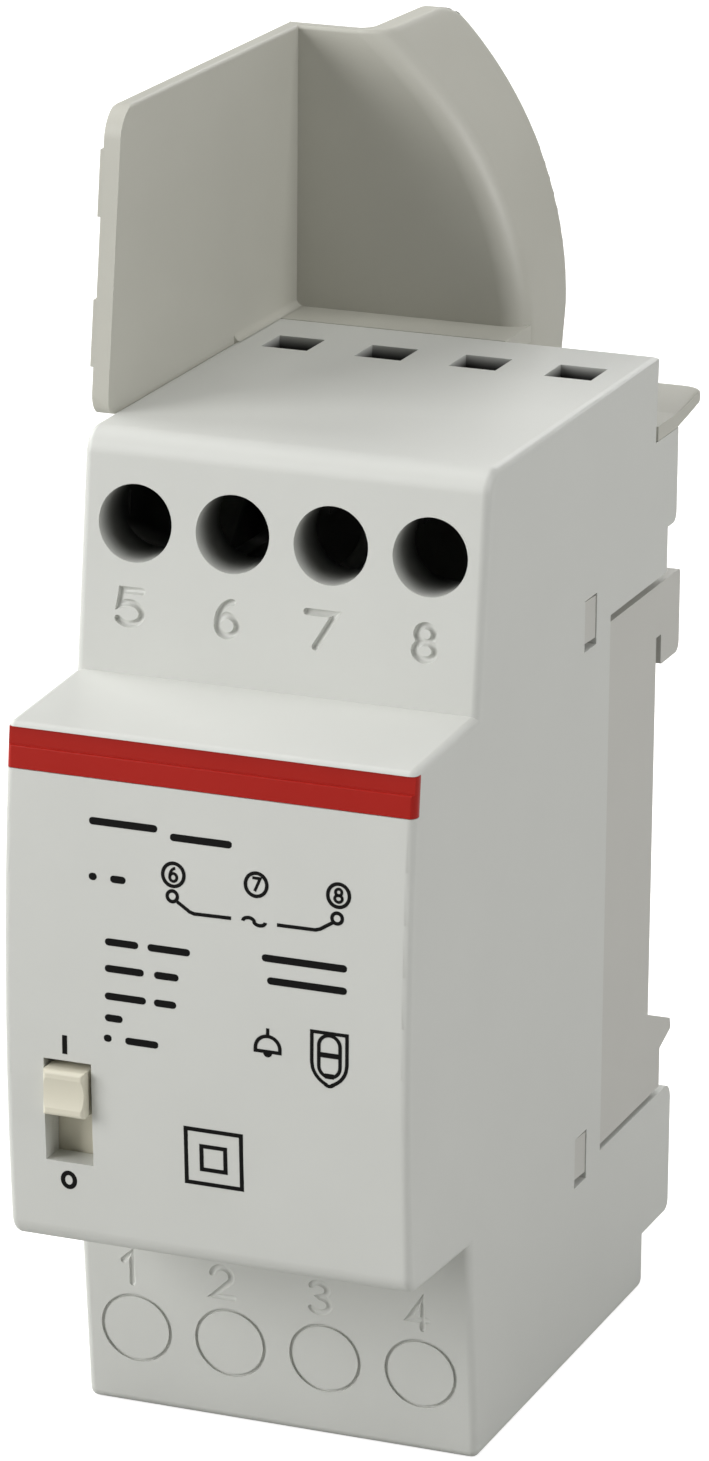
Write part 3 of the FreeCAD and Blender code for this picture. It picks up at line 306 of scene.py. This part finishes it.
def banded(name, colour, groove, rough, pitch, depth, axis, metallic):
    """Turns of wire or stacked sheets: even bands along one axis in tone and bump, uneven in colour."""
    finish, tree, place = new_finish(name)
    settings = {"bands_direction": axis, "Scale": math.pi / (10 * pitch * MM), "Distortion": 0.0}
    bands = add_node(tree, "ShaderNodeTexWave", settings, {"Vector": place}).outputs["Fac"]
    uneven = add_node(tree, "ShaderNodeMixRGB", {"blend_type": "MULTIPLY", "Fac": CLOUD_SHARE}, {
        "Color1": two_tone(tree, groove, colour, bands),
        "Color2": noise(tree, CLOUD_SIZE, 3.0, place)["Color"]})
    surface(tree, {"Metallic": metallic, "Roughness": rough}, {
        "Base Color": uneven.outputs["Color"], "Normal": bumpy(tree, 0.8, depth, bands)})
    return finish


# Spark-eroded mould grain is about 0.1 mm wide; it is drawn at 0.35 mm so that it shows
FINISHES = {
    # Light grey polycarbonate, fine matt mould: soft even sheen, no sparkle
    "housing_grey": moulded("polycarbonate_light_grey_matt", "#cfd0cb", "#cacbc6", 0.46, 0.35, 0.012),
    # The base is the same plastic from another mould, a touch warmer
    "base_grey": moulded("polycarbonate_base_grey_matt", "#c6c5bf", "#c0bfb9", 0.5, 0.35, 0.012),
    # The shield is a warmer grey with a smoother mould
    "shield_grey": moulded("polycarbonate_shield_grey_satin", "#bfbeb4", "#b9b8ae", 0.42, 0.4, 0.01),
    # Red styrene, satin: a deep colour that the gloss hardly greys
    "band_red": moulded("styrene_red_satin", "#ab2016", "#a01a12", 0.3, 1.5, 0.002, 0.2),
    # Cream acetal, satin and slightly waxy
    "button_cream": moulded("acetal_cream_satin", "#dcd8c6", "#d6d1be", 0.36, 0.4, 0.008),
    # Dark polyester switch body, dull
    "switch_black": moulded("polyester_dark_grey_matt", "#4c4a44", "#434139", 0.55, 0.3, 0.012),
    # Rolled brass strip, slightly tarnished
    "contact_brass": metal("brass_rolled", "#d9b45c", "#b98f3e", 0.3, 0.8, 0.004),
    # Dark grey nylon of the latch, faintly mottled by its fibre
    "latch_grey": moulded("nylon_glass_filled_grey", "#77776f", "#6d6d66", 0.5, 0.3, 0.015),
    # Blued spring steel, drawn and smooth
    "spring_steel": metal("spring_steel_blued", "#6f7276", "#5a5d62", 0.28, 0.9, 0.003),
    # Stacked silicon steel sheets 0.5 mm thick, seen on edge as fine lines
    "core_steel": banded("silicon_steel_laminated", "#8d8b87", "#55504a", 0.42, 0.5, 0.05, "X", 1.0),
    # Natural nylon bobbin, milky
    "bobbin_white": moulded("nylon_natural_moulded", "#e4e0d2", "#dbd6c5", 0.42, 0.5, 0.01),
    # Enamelled copper wire 0.25 mm thick, its turns drawn at 0.4 mm so that they show
    "winding_copper": banded("copper_wire_enamelled", "#b4683a", "#6d3317", 0.3, 0.4, 0.08, "Y", 0.7),
    # Nickelled steel can
    "cutout_can": metal("steel_nickelled", "#c9c6bd", "#aaa79e", 0.25, 1.0, 0.003),
    # Zinc plate, clear passivated: bluish, with soft crystals
    "screw_zinc": metal("steel_zinc_clear", "#c6c9cc", "#9fa3a8", 0.3, 0.6, 0.006),
    "clamp_zinc": metal("steel_zinc_pressed", "#bfc1c1", "#999c9d", 0.36, 0.8, 0.008),
    # Extruded PVC sleeves, smooth with a soft gloss
    "lead_brown": moulded("pvc_sleeve_brown", "#5a3320", "#4f2c1b", 0.4, 0.6, 0.006),
    "lead_black": moulded("pvc_sleeve_black", "#262626", "#1f1f1f", 0.4, 0.6, 0.006),
    "lead_blue": moulded("pvc_sleeve_blue", "#2a4f8f", "#254680", 0.4, 0.6, 0.006),
    "lead_white": moulded("pvc_sleeve_white", "#dddbd4", "#d3d1c9", 0.4, 0.6, 0.006),
}
# Black pad-printing ink, thin and matt, with a slightly patchy film
PRINT_INK = moulded("pad_print_ink_black", "#0f0f0e", "#0b0b0a", 0.6, 0.25, 0.004, 0.1)

for node, part in NODES.items():
    part.data.materials.clear()
    part.data.materials.append(FINISHES[SLOT_OF[node]])


# Numerals as strokes in a box one wide and one high

def numeral(figure):
    """Strokes of a plain numeral, each a run of points and whether it closes on itself."""
    if figure == 1:
        return [([(0.2, 0.74), (0.62, 1.0), (0.62, 0.0)], False)]
    if figure == 2:
        return [(np.concatenate([arc(0.5, 0.7, 0.47, 0.3, 165, -32), [(0.03, 0.0), (1.0, 0.0)]]), False)]
    if figure == 3:
        upper = arc(0.45, 0.76, 0.43, 0.24, 145, -85)
        lower = arc(0.45, 0.26, 0.5, 0.26, 85, -145)
        return [(np.concatenate([upper, lower]), False)]
    if figure == 4:
        return [([(0.74, 0.0), (0.74, 1.0), (0.0, 0.28), (1.0, 0.28)], False)]
    if figure == 5:
        flag = [(0.92, 1.0), (0.16, 1.0), (0.08, 0.55)]
        return [(np.concatenate([flag, arc(0.45, 0.32, 0.5, 0.32, 128, -145)]), False)]
    if figure == 6:
        return [(loop(0.5, 0.3, 0.46, 0.3), True), (arc(0.74, 0.34, 0.7, 0.66, 178, 92), False)]
    if figure == 7:
        return [([(0.0, 1.0), (1.0, 1.0), (0.34, 0.0)], False)]
    return [(loop(0.5, 0.75, 0.4, 0.25), True), (loop(0.5, 0.26, 0.48, 0.26), True)]


def place_strokes(strokes, left, bottom, width, height):
    """Strokes of the unit box set at a place and size on a face."""
    return [(np.asarray(run) * (width, height) + (left, bottom), closed) for run, closed in strokes]


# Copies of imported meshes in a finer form

# Points nearer than this are one, and a row of new points takes up a point that is this near to its plane
MERGE_DISTANCE = 0.0005 * MM
ROW_SNAP = 0.0001 * MM
SHARP_ANGLE = math.radians(30)


def merged_copy(node, rows=()):
    """A copy of a node's mesh with doubled points merged, and rows of new points where planes (axis, place)
    cross it."""
    mesh = NODES[node].data.copy()
    work = bmesh.new()
    work.from_mesh(mesh)
    bmesh.ops.remove_doubles(work, verts=work.verts, dist=MERGE_DISTANCE)
    for axis, place in rows:
        normal = Vector(np.eye(3)[axis])
        everything = work.verts[:] + work.edges[:] + work.faces[:]
        spot = normal * place * MM
        bmesh.ops.bisect_plane(work, geom=everything, plane_co=spot, plane_no=normal, dist=ROW_SNAP)
    work.to_mesh(mesh)
    work.free()
    if "custom_normal" in mesh.attributes:
        mesh.attributes.remove(mesh.attributes["custom_normal"])
    return mesh


def point_values(mesh, name):
    """A vector property of a mesh's points, as rows of three."""
    values = np.empty(3 * len(mesh.vertices), np.float32)
    mesh.vertices.foreach_get(name, values)
    return values.reshape(-1, 3)


def reshape(mesh, form):
    """Moves a mesh's points: form takes points in millimetres and unit normals, and gives the new points."""
    moved = form(point_values(mesh, "co").astype(float) / MM, point_values(mesh, "normal").astype(float))
    mesh.vertices.foreach_set("co", (moved * MM).astype(np.float32).ravel())
    mesh.update()


def wear(shell, node):
    """Gives a copy its node's finish, even shading and place in the frame."""
    slot = SLOT_OF[node]
    shell.data.materials.clear()
    shell.data.materials.append(FINISHES[slot])
    shell.data.shade_smooth()
    shell.data.set_sharp_from_angle(angle=SHARP_ANGLE)
    even = shell.modifiers.new("even_normals", "WEIGHTED_NORMAL")
    even.keep_sharp = True
    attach(shell, "housing")
    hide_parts(node)


# Cover with engraved numerals, a finer top edge and painted shade in its wells and wire entries
ENGRAVING_RADIUS = 0.32
ENGRAVING_SIDES = 12
# Rows of numerals: bottom, top, how far the cutting tube's middle lies below the face, and numeral, left, right
ENGRAVED = (
    (27.5, 30.35, 0.06, ((5, -14.43, -12.07), (6, -5.47, -3.53), (7, 2.55, 5.08), (8, 12.1, 14.0))),
    (-31.65, -28.85, -0.1, ((1, -14.38, -12.62), (2, -5.86, -3.94), (3, 3.23, 5.07), (4, 12.21, 13.89))),
)
# The top's back edge: its depth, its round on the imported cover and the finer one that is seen
EDGE_Y, EDGE_ROUND, EDGE_FINE = -1.0, 0.9, 0.2
# Room for rounding where points are picked by their place
SLACK, WELL_SLACK, ENTRY_SLACK = 0.01, 0.06, 0.02
# Most that the depth value of the painted shade may reach
RECESS_MOST = 3


def engraving_cutters():
    """Round tubes along the numerals' strokes, centred near the leaning face; the lower row cuts less deep."""
    turn = np.linspace(0, 2 * np.pi, ENGRAVING_SIDES, endpoint=False)
    round_section = ENGRAVING_RADIUS * np.stack([np.cos(turn), np.sin(turn)], 1)
    cutters = []
    for bottom, top, sink, row in ENGRAVED:
        for figure, left, right in row:
            for run, closed in place_strokes(numeral(figure), left, bottom, right - left, top - bottom):
                points, faces = sweep(run, round_section - (0, sink), closed, ENGRAVING_RADIUS)
                cutters.append((on_terminal_face(points), faces))
    return cutters


def finer_top_edge(points, _):
    """Draws the round along the top's back edge towards its corner, so that its radius shrinks."""
    corner = np.array([EDGE_Y, COVER_TOP])
    inside = (np.abs(points[:, 1:] - corner + EDGE_ROUND / 2) < EDGE_ROUND / 2 + SLACK).all(1)
    moved = points.copy()
    moved[inside, 1:] = corner + (points[inside, 1:] - corner) * EDGE_FINE / EDGE_ROUND
    return moved


def painted_shade_depth(points):
    """How deep a point lies in a screw well or wire entry, for the painted shade: 0 at the mouth, 1 where the
    painted shade makes the wall fully dark.
    """
    x, y, z = points.T
    beside = np.abs(x[:, None] - TERMINAL_X).min(1)
    face = FACE_Y + FACE_SLOPE * (z - FACE_LOW)
    in_well = np.hypot(beside, z - TERMINAL_Z) < WELL_RADIUS + WELL_SLACK
    well = np.where(in_well, (y - face) / (WELL_END - face), 0)
    in_plan = (beside < ENTRY_HALF + ENTRY_SLACK) & (np.abs(y - ENTRY_Y) < ENTRY_HALF + ENTRY_SLACK)
    entry = np.where(in_plan & (z > COVER_TOP - ENTRY_DEPTH), (COVER_TOP - z) / ENTRY_SHADE_DEPTH, 0)
    return np.clip(np.maximum(well, entry), 0, RECESS_MOST)


def cover_shell():
    """A copy of the cover with a finer top edge, the cutters taken away, and painted shade on the walls of its
    wells and wire entries.
    """
    cutter = new_piece("cover_cutter", engraving_cutters())
    mesh = merged_copy("front_cover")
    reshape(mesh, finer_top_edge)
    shell = show("cover_shell", mesh)
    cut = shell.modifiers.new("engrave", "BOOLEAN")
    cut.operation = "DIFFERENCE"
    cut.solver = "EXACT"
    cut.use_self = True
    cut.object = cutter
    view = bpy.context.evaluated_depsgraph_get()
    shell.data = bpy.data.meshes.new_from_object(shell.evaluated_get(view))
    shell.modifiers.clear()
    bpy.data.objects.remove(cutter)
    # Painted shade: each point's depth in a well or wire entry, which darkens its wall in the finish
    painted_recess_shade = shell.data.attributes.new("painted_recess_shade", "FLOAT", "POINT")
    painted_recess_shade.data.foreach_set("value", painted_shade_depth(point_values(shell.data, "co") / MM).astype(np.float32))
    wear(shell, "front_cover")


# Shield with the deep, flared flange and the soft rim of the photograph
SHIELD_TOP = 68.9
RIM_ROUND = 0.35
# A normal whose level part is shorter than this points up or down, so the rim doesn't turn in there
RIM_LEVEL = 0.2
SHIELD_LEFT = -18.075
WALL_BACK = 5.5
# Arcs of the flange as centre x, centre z and radius: as packed, and from the outline in the photograph
PACKED_ARC = (-33.2, 43.5, 37.0)
FLANGE_ARC = (-31.24, 44.1, 34.91)
FLANGE_ROOT, PACKED_BACK, FLANGE_BACK = 6.4, 13.0, 15.1
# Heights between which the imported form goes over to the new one, and the width of the bend, which stays
FORM_LOW, FORM_HIGH = 38.5, 43.5
BEND_WIDTH = 2.4
FLANGE_FLARE, FLARE_LOW, FLARE_HIGH = 2.2, 44.0, 66.0
FLANGE_RISE, RISE_LOW = 0.9, 58.0
FLANGE_CORNER = 2.0
# Gusset between plate and wall: its size, the share that is left, and heights below, at and above its foot
GUSSET, GUSSET_SHARE, GUSSET_SLACK = 1.4, 0.45, 0.05
GUSSET_LOW, GUSSET_FOOT, GUSSET_HIGH = 43.5, 43.55, 43.6
# Foot of the plate: how far it is drawn down, and heights below it, at it and where nothing moves
PLATE_DROP = 0.3
PLATE_LOW, PLATE_FOOT, PLATE_STILL = 43.4, 43.5, 45.0
FIN_BACK, FIN_END, FIN_CORNER = 12.0, 18.0, 2.0
RIM_ROWS = (0.99, 0.7, 0.42, 0.2, 0.06)
BACK_ROWS = (7.5, 8.5, 9.5, 10.5, 11.2, 11.5, 11.8, 12.1, 12.35, 12.6, 12.75, 12.88, 12.96)
END_ROWS = (16.0, 16.6, 17.1, 17.5, 17.8, 17.95)
SHIELD_ROWS = (
    [(2, SHIELD_TOP - RIM_ROUND * share) for share in RIM_ROWS]
    + [(1, place) for place in BACK_ROWS]
    + [(0, place) for place in END_ROWS]
)


def ramp(value, low, high):
    """Grows from 0 at low to 1 at high, and is level outside."""
    return np.clip((value - low) / (high - low), 0, 1)


def arc_edge(z, centre_x, centre_z, radius):
    """The right edge of a standing arc at a height, straight down below its centre."""
    return centre_x + np.sqrt(radius**2 - np.maximum(z - centre_z, 0)**2)


def shield_form(points, normals):
    """The rim turns in as a quarter circle. The flange is drawn out to the back, its arc goes over to the
    tighter one and opens towards the back, and its top rises to a round corner. The gusset shrinks, the plate
    reaches lower and the fin's corner becomes a quarter circle in plan."""
    x, y, z = points.T
    across = np.linalg.norm(normals[:, :2], axis=1, keepdims=True)
    outward = np.where(across > RIM_LEVEL, normals[:, :2] / np.maximum(across, RIM_LEVEL), 0).T
    rise = np.clip(z - (SHIELD_TOP - RIM_ROUND), 0, RIM_ROUND)
    inset = RIM_ROUND - np.sqrt(RIM_ROUND**2 - rise**2)
    x, y = x - inset * outward[0], y - inset * outward[1]

    fin = x > PACKED_ARC[0] + PACKED_ARC[2] + SLACK
    corner = FIN_CORNER - np.sqrt(FIN_CORNER**2 - np.clip(x - FIN_END + FIN_CORNER, 0, FIN_CORNER)**2)
    fin_y = y - corner * ramp(y, WALL_BACK, FIN_BACK)

    plate = x < SHIELD_LEFT + SLACK
    beside = (x > SHIELD_LEFT - SLACK) & (x < SHIELD_LEFT + GUSSET + GUSSET_SLACK)
    root = beside & (y < WALL_BACK) & (z > GUSSET_LOW) & (z < GUSSET_HIGH + GUSSET)
    low_z = np.where(root, GUSSET_FOOT + (z - GUSSET_FOOT) * GUSSET_SHARE, z)
    low_x = np.where(root, SHIELD_LEFT + (x - SHIELD_LEFT) * GUSSET_SHARE, x)
    low_z = low_z - np.where(plate & (z > PLATE_LOW), PLATE_DROP * ramp(-z, -PLATE_STILL, -PLATE_FOOT), 0)

    high = ramp(z, FORM_LOW, FORM_HIGH)
    deep_y = y + high * ramp(y, FLANGE_ROOT, PACKED_BACK) * (FLANGE_BACK - PACKED_BACK)
    reach = ramp(deep_y, WALL_BACK, FLANGE_BACK)
    turn = np.clip(deep_y - FLANGE_BACK + FLANGE_CORNER, 0, FLANGE_CORNER)
    lift = FLANGE_RISE * reach - FLANGE_CORNER + np.sqrt(FLANGE_CORNER**2 - turn**2)
    deep_z = low_z + lift * ramp(z, RISE_LOW, SHIELD_TOP)**2
    centre_x, centre_z, radius = FLANGE_ARC
    flare = FLANGE_FLARE * ramp(z, FLARE_LOW, FLARE_HIGH) * (1 - reach)
    packed_edge = arc_edge(z, *PACKED_ARC)
    shift = arc_edge(deep_z, centre_x, centre_z, radius - flare) - packed_edge
    deep_x = low_x + shift * high * ramp(x, SHIELD_LEFT, packed_edge - BEND_WIDTH)
    return np.where(fin[:, None], np.stack([x, fin_y, z], 1), np.stack([deep_x, deep_y, deep_z], 1))


def shield_shell():
    """A copy of the shield in the photograph's form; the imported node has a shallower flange."""
    mesh = merged_copy("wire_shield", SHIELD_ROWS)
    reshape(mesh, shield_form)
    wear(show("shield_shell", mesh), "wire_shield")


shield_shell()
cover_shell()


# Ink marks on the nose
INK_LIFT = 0.03
INK_SINK = 0.02
# Widths of fine, plain, heavy and bold strokes
INK_FINE, INK_LINE, INK_HEAVY, INK_BOLD = 0.24, 0.3, 0.36, 0.44
# Half width and half height of a circle about a numeral, and width and height of the numeral in it
CIRCLE_WIDE, CIRCLE_HIGH = 0.94, 0.97
DIGIT_WIDE, DIGIT_HIGH = 0.68, 1.1
CIRCLED = ((6, -2.8, 11.56), (7, 4.49, 11.67), (8, 11.69, 11.69))
# Rows of short bars: left, right, middle height
BARS = (
    (-10.4, -4.3, 15.2), (-3.2, 2.3, 14.7), (-10.2, -9.7, 10.5), (-8.4, -7.0, 10.5),
    (-8.8, -5.8, 5.1), (-5.0, -1.2, 5.1), (-8.8, -5.3, 2.8), (-4.4, -2.2, 2.8),
    (-8.8, -5.1, 0.4), (-4.4, -2.4, 0.4), (-8.8, -7.2, -1.5), (-8.8, -8.3, -3.3), (-7.0, -4.0, -3.3),
    (5.1, 12.6, 5.6), (5.6, 12.6, 3.7),
)
BAR_WIDTH = 0.62


def ink_section(width):
    """A flat film as wide as the stroke, from a little inside the face to a little above it."""
    half = width / 2
    return [(-half, -INK_SINK), (-half, INK_LIFT), (half, INK_LIFT), (half, -INK_SINK)]


def nose_strokes():
    """Every ink stroke on the nose: a run of points, whether it closes, and its width."""
    strokes = []
    for figure, x, z in CIRCLED:
        strokes.append((loop(x, z, CIRCLE_WIDE, CIRCLE_HIGH), True, INK_LINE))
        digit = place_strokes(numeral(figure), x - DIGIT_WIDE / 2, z - DIGIT_HIGH / 2, DIGIT_WIDE, DIGIT_HIGH)
        strokes += [(run, closed, INK_FINE) for run, closed in digit]
    strokes += [
        # Tap line between two small rings, with a wave sign in its gap
        (loop(-2.85, 9.74, 0.45, 0.45), True, INK_LINE),
        (loop(11.62, 9.77, 0.45, 0.45), True, INK_LINE),
        ([(-2.42, 9.34), (-1.3, 8.62), (-0.9, 8.5), (2.36, 8.56)], False, INK_LINE),
        ([(6.4, 8.53), (9.75, 8.56), (10.15, 8.68), (11.36, 9.44)], False, INK_LINE),
        (np.concatenate([arc(3.9, 8.5, 0.5, 0.32, 180, 15, 14), arc(4.87, 8.58, 0.5, 0.32, -165, 0, 14)]),
         False, INK_LINE),
        # Square in a square
        ([(-1.68, -10.25), (3.25, -10.25), (3.25, -15.05), (-1.68, -15.05)], True, INK_HEAVY),
        ([(-0.3, -11.67), (1.82, -11.67), (1.82, -13.75), (-0.3, -13.75)], True, INK_HEAVY),
        # Bell: stem, dome and clapper
        ([(5.69, -0.42), (5.69, -1.15)], False, 0.28),
        (np.concatenate([arc(5.69, -2.18, 1.08, 1.06, 180, 0, 24), [(6.77, -2.45), (4.61, -2.45)]]),
         True, INK_LINE),
        (arc(5.69, -2.5, 0.2, 0.24, 180, 360, 12), False, 0.4),
        # Shield with a long ring in it, a bar across the ring and a thick foot
        (np.concatenate([[(9.57, -0.1), (12.65, -0.1), (12.65, -2.7)],
                         arc(10.3, -2.7, 2.35, 2.1, -14, -62, 8), arc(11.11, -4.4, 0.4, 0.3, -40, -140, 6),
                         arc(11.92, -2.7, 2.35, 2.1, -118, -166, 8), [(9.57, -2.7)]]),
         True, INK_LINE),
        (np.concatenate([arc(11.12, -1.22, 0.93, 0.93, 180, 0, 20),
                         arc(11.12, -2.98, 0.93, 0.93, 0, -180, 20)]), True, INK_LINE),
        ([(10.2, -2.02), (12.05, -2.02)], False, INK_BOLD),
        ([(10.72, -3.82), (11.52, -3.82)], False, INK_BOLD),
        # Stroke and ring beside the switch
        ([(-12.45, -3.6), (-12.45, -5.25)], False, INK_BOLD),
        (loop(-12.4, -16.6, 0.54, 0.64), True, 0.4),
    ]
    half = BAR_WIDTH / 2
    strokes += [([(left + half, z), (right - half, z)], False, BAR_WIDTH) for left, right, z in BARS]
    return strokes


def nose_print():
    """All ink marks as one piece of thin films that follow the nose."""
    films = []
    for run, closed, width in nose_strokes():
        points, faces = sweep(run, ink_section(width), closed, width / 2 if width == BAR_WIDTH else 0)
        films.append((on_nose(points), faces))
    new_piece("nose_print", films, PRINT_INK)


nose_print()


# Camera as the photograph was taken: turned to the right of the front, looking down a little; angles in degrees
CAMERA_AZIMUTH = 21.547
CAMERA_ELEVATION = 17.353
CAMERA_ROLL = 0.4741
CAMERA_DISTANCE = 557.81 * MM
CAMERA_TARGET = Vector((1.236, -30.0, 15.833)) * MM
CAMERA_LENS, CAMERA_SENSOR = 161.67, 36
CAMERA_CLIP = 0.01


def direction(azimuth, elevation):
    """The way out from the object at an azimuth to the right of the front and an elevation, in degrees."""
    turn, rise = math.radians(azimuth), math.radians(elevation)
    return Vector((math.sin(turn) * math.cos(rise), -math.cos(turn) * math.cos(rise), math.sin(rise)))


def studio_camera():
    """Camera on a sphere about its target, rolled a little about its own view."""
    back = direction(CAMERA_AZIMUTH, CAMERA_ELEVATION)
    right = direction(CAMERA_AZIMUTH + 90, 0)
    up = back.cross(right)
    roll = math.radians(CAMERA_ROLL)
    across = math.cos(roll) * right + math.sin(roll) * up
    upright = math.cos(roll) * up - math.sin(roll) * right
    lens = bpy.data.cameras.new("studio_camera")
    lens.lens = CAMERA_LENS
    lens.sensor_width = CAMERA_SENSOR
    lens.clip_start = CAMERA_CLIP
    camera = show("studio_camera", lens)
    turned = Matrix((across, upright, back)).transposed().to_4x4()
    camera.matrix_world = Matrix.Translation(CAMERA_TARGET + CAMERA_DISTANCE * back) @ turned
    bpy.context.scene.camera = camera


def seen(tree):
    """1 for rays from the camera or through a clear body, which see the studio's white, and 0 for the rest."""
    path = add_node(tree, "ShaderNodeLightPath").outputs
    links = {0: path["Is Camera Ray"], 1: path["Is Transmission Ray"]}
    return add_node(tree, "ShaderNodeMath", {"operation": "MAXIMUM"}, links).outputs[0]


# The floor ends in front of the back lamp, and a hair of room keeps it off the object's lowest face
FLOOR_REACH = 1.5
FLOOR_GAP = 0.05 * MM
FLOOR_COLOUR, FLOOR_GLOW = "#b8b8b6", 0.8


def studio_floor():
    """A pale floor under the object, with a soft shadow, white to the camera and clear from below."""
    level = CAD_BOX[0].z - FLOOR_GAP
    corners = [(x * FLOOR_REACH, y * FLOOR_REACH, level) for x, y in ((-1, -1), (1, -1), (1, 1), (-1, 1))]
    mesh = bpy.data.meshes.new("floor")
    mesh.from_pydata(corners, [], [(0, 1, 2, 3)])
    floor = show("floor", mesh)
    finish = bpy.data.materials.new("studio_floor_white")
    tree = empty_tree(finish)
    matt = add_node(tree, "ShaderNodeBsdfDiffuse", {"Color": linear(FLOOR_COLOUR)}).outputs[0]
    glow = add_node(tree, "ShaderNodeEmission", {"Strength": FLOOR_GLOW}).outputs[0]
    white = add_node(tree, "ShaderNodeAddShader", {}, {0: matt, 1: glow}).outputs[0]
    above = add_node(tree, "ShaderNodeMixShader", {}, {"Fac": seen(tree), 1: matt, 2: white}).outputs[0]
    below = add_node(tree, "ShaderNodeNewGeometry").outputs["Backfacing"]
    clear = add_node(tree, "ShaderNodeBsdfTransparent").outputs[0]
    one_sided = add_node(tree, "ShaderNodeMixShader", {}, {"Fac": below, 1: above, 2: clear}).outputs[0]
    add_node(tree, "ShaderNodeOutputMaterial", {}, {"Surface": one_sided})
    mesh.materials.append(finish)


WORLD_LIGHT = 0.07


def studio_world():
    """Even soft light from all round, and plain white where it is seen."""
    world = bpy.data.worlds.new("studio")
    bpy.context.scene.world = world
    tree = empty_tree(world)
    strength = between(tree, WORLD_LIGHT, 1.0, seen(tree))
    sky = add_node(tree, "ShaderNodeBackground", {"Color": linear("#ffffff")}, {"Strength": strength})
    add_node(tree, "ShaderNodeOutputWorld", {}, {"Surface": sky.outputs[0]})


# Square lamps, all of one size and distance in metres: name, azimuth, elevation and power in watts
LAMP_SIZE, LAMP_DISTANCE = 1.2, 2.0
LAMPS = (
    ("key_left", -48, 20, 35.5),
    ("side_left", -106, 29, 25.3),
    ("fill_right", 85, 26, 19.6),
    ("top", 0, 85, 14.0),
    ("back", 180, 25, 10.3),
)


def soft_box(name, azimuth, elevation, power):
    """A flat square lamp aimed at the object."""
    away = direction(azimuth, elevation)
    lamp = bpy.data.lights.new(name, "AREA")
    lamp.shape = "SQUARE"
    lamp.size = LAMP_SIZE
    lamp.energy = power
    aimed = away.to_track_quat("Z", "Y").to_matrix().to_4x4()
    show(name, lamp).matrix_world = Matrix.Translation(CAMERA_TARGET + LAMP_DISTANCE * away) @ aimed


studio_camera()
studio_floor()
studio_world()
for settings in LAMPS:
    soft_box(*settings)
bpy.context.scene.view_settings.view_transform = "Standard"
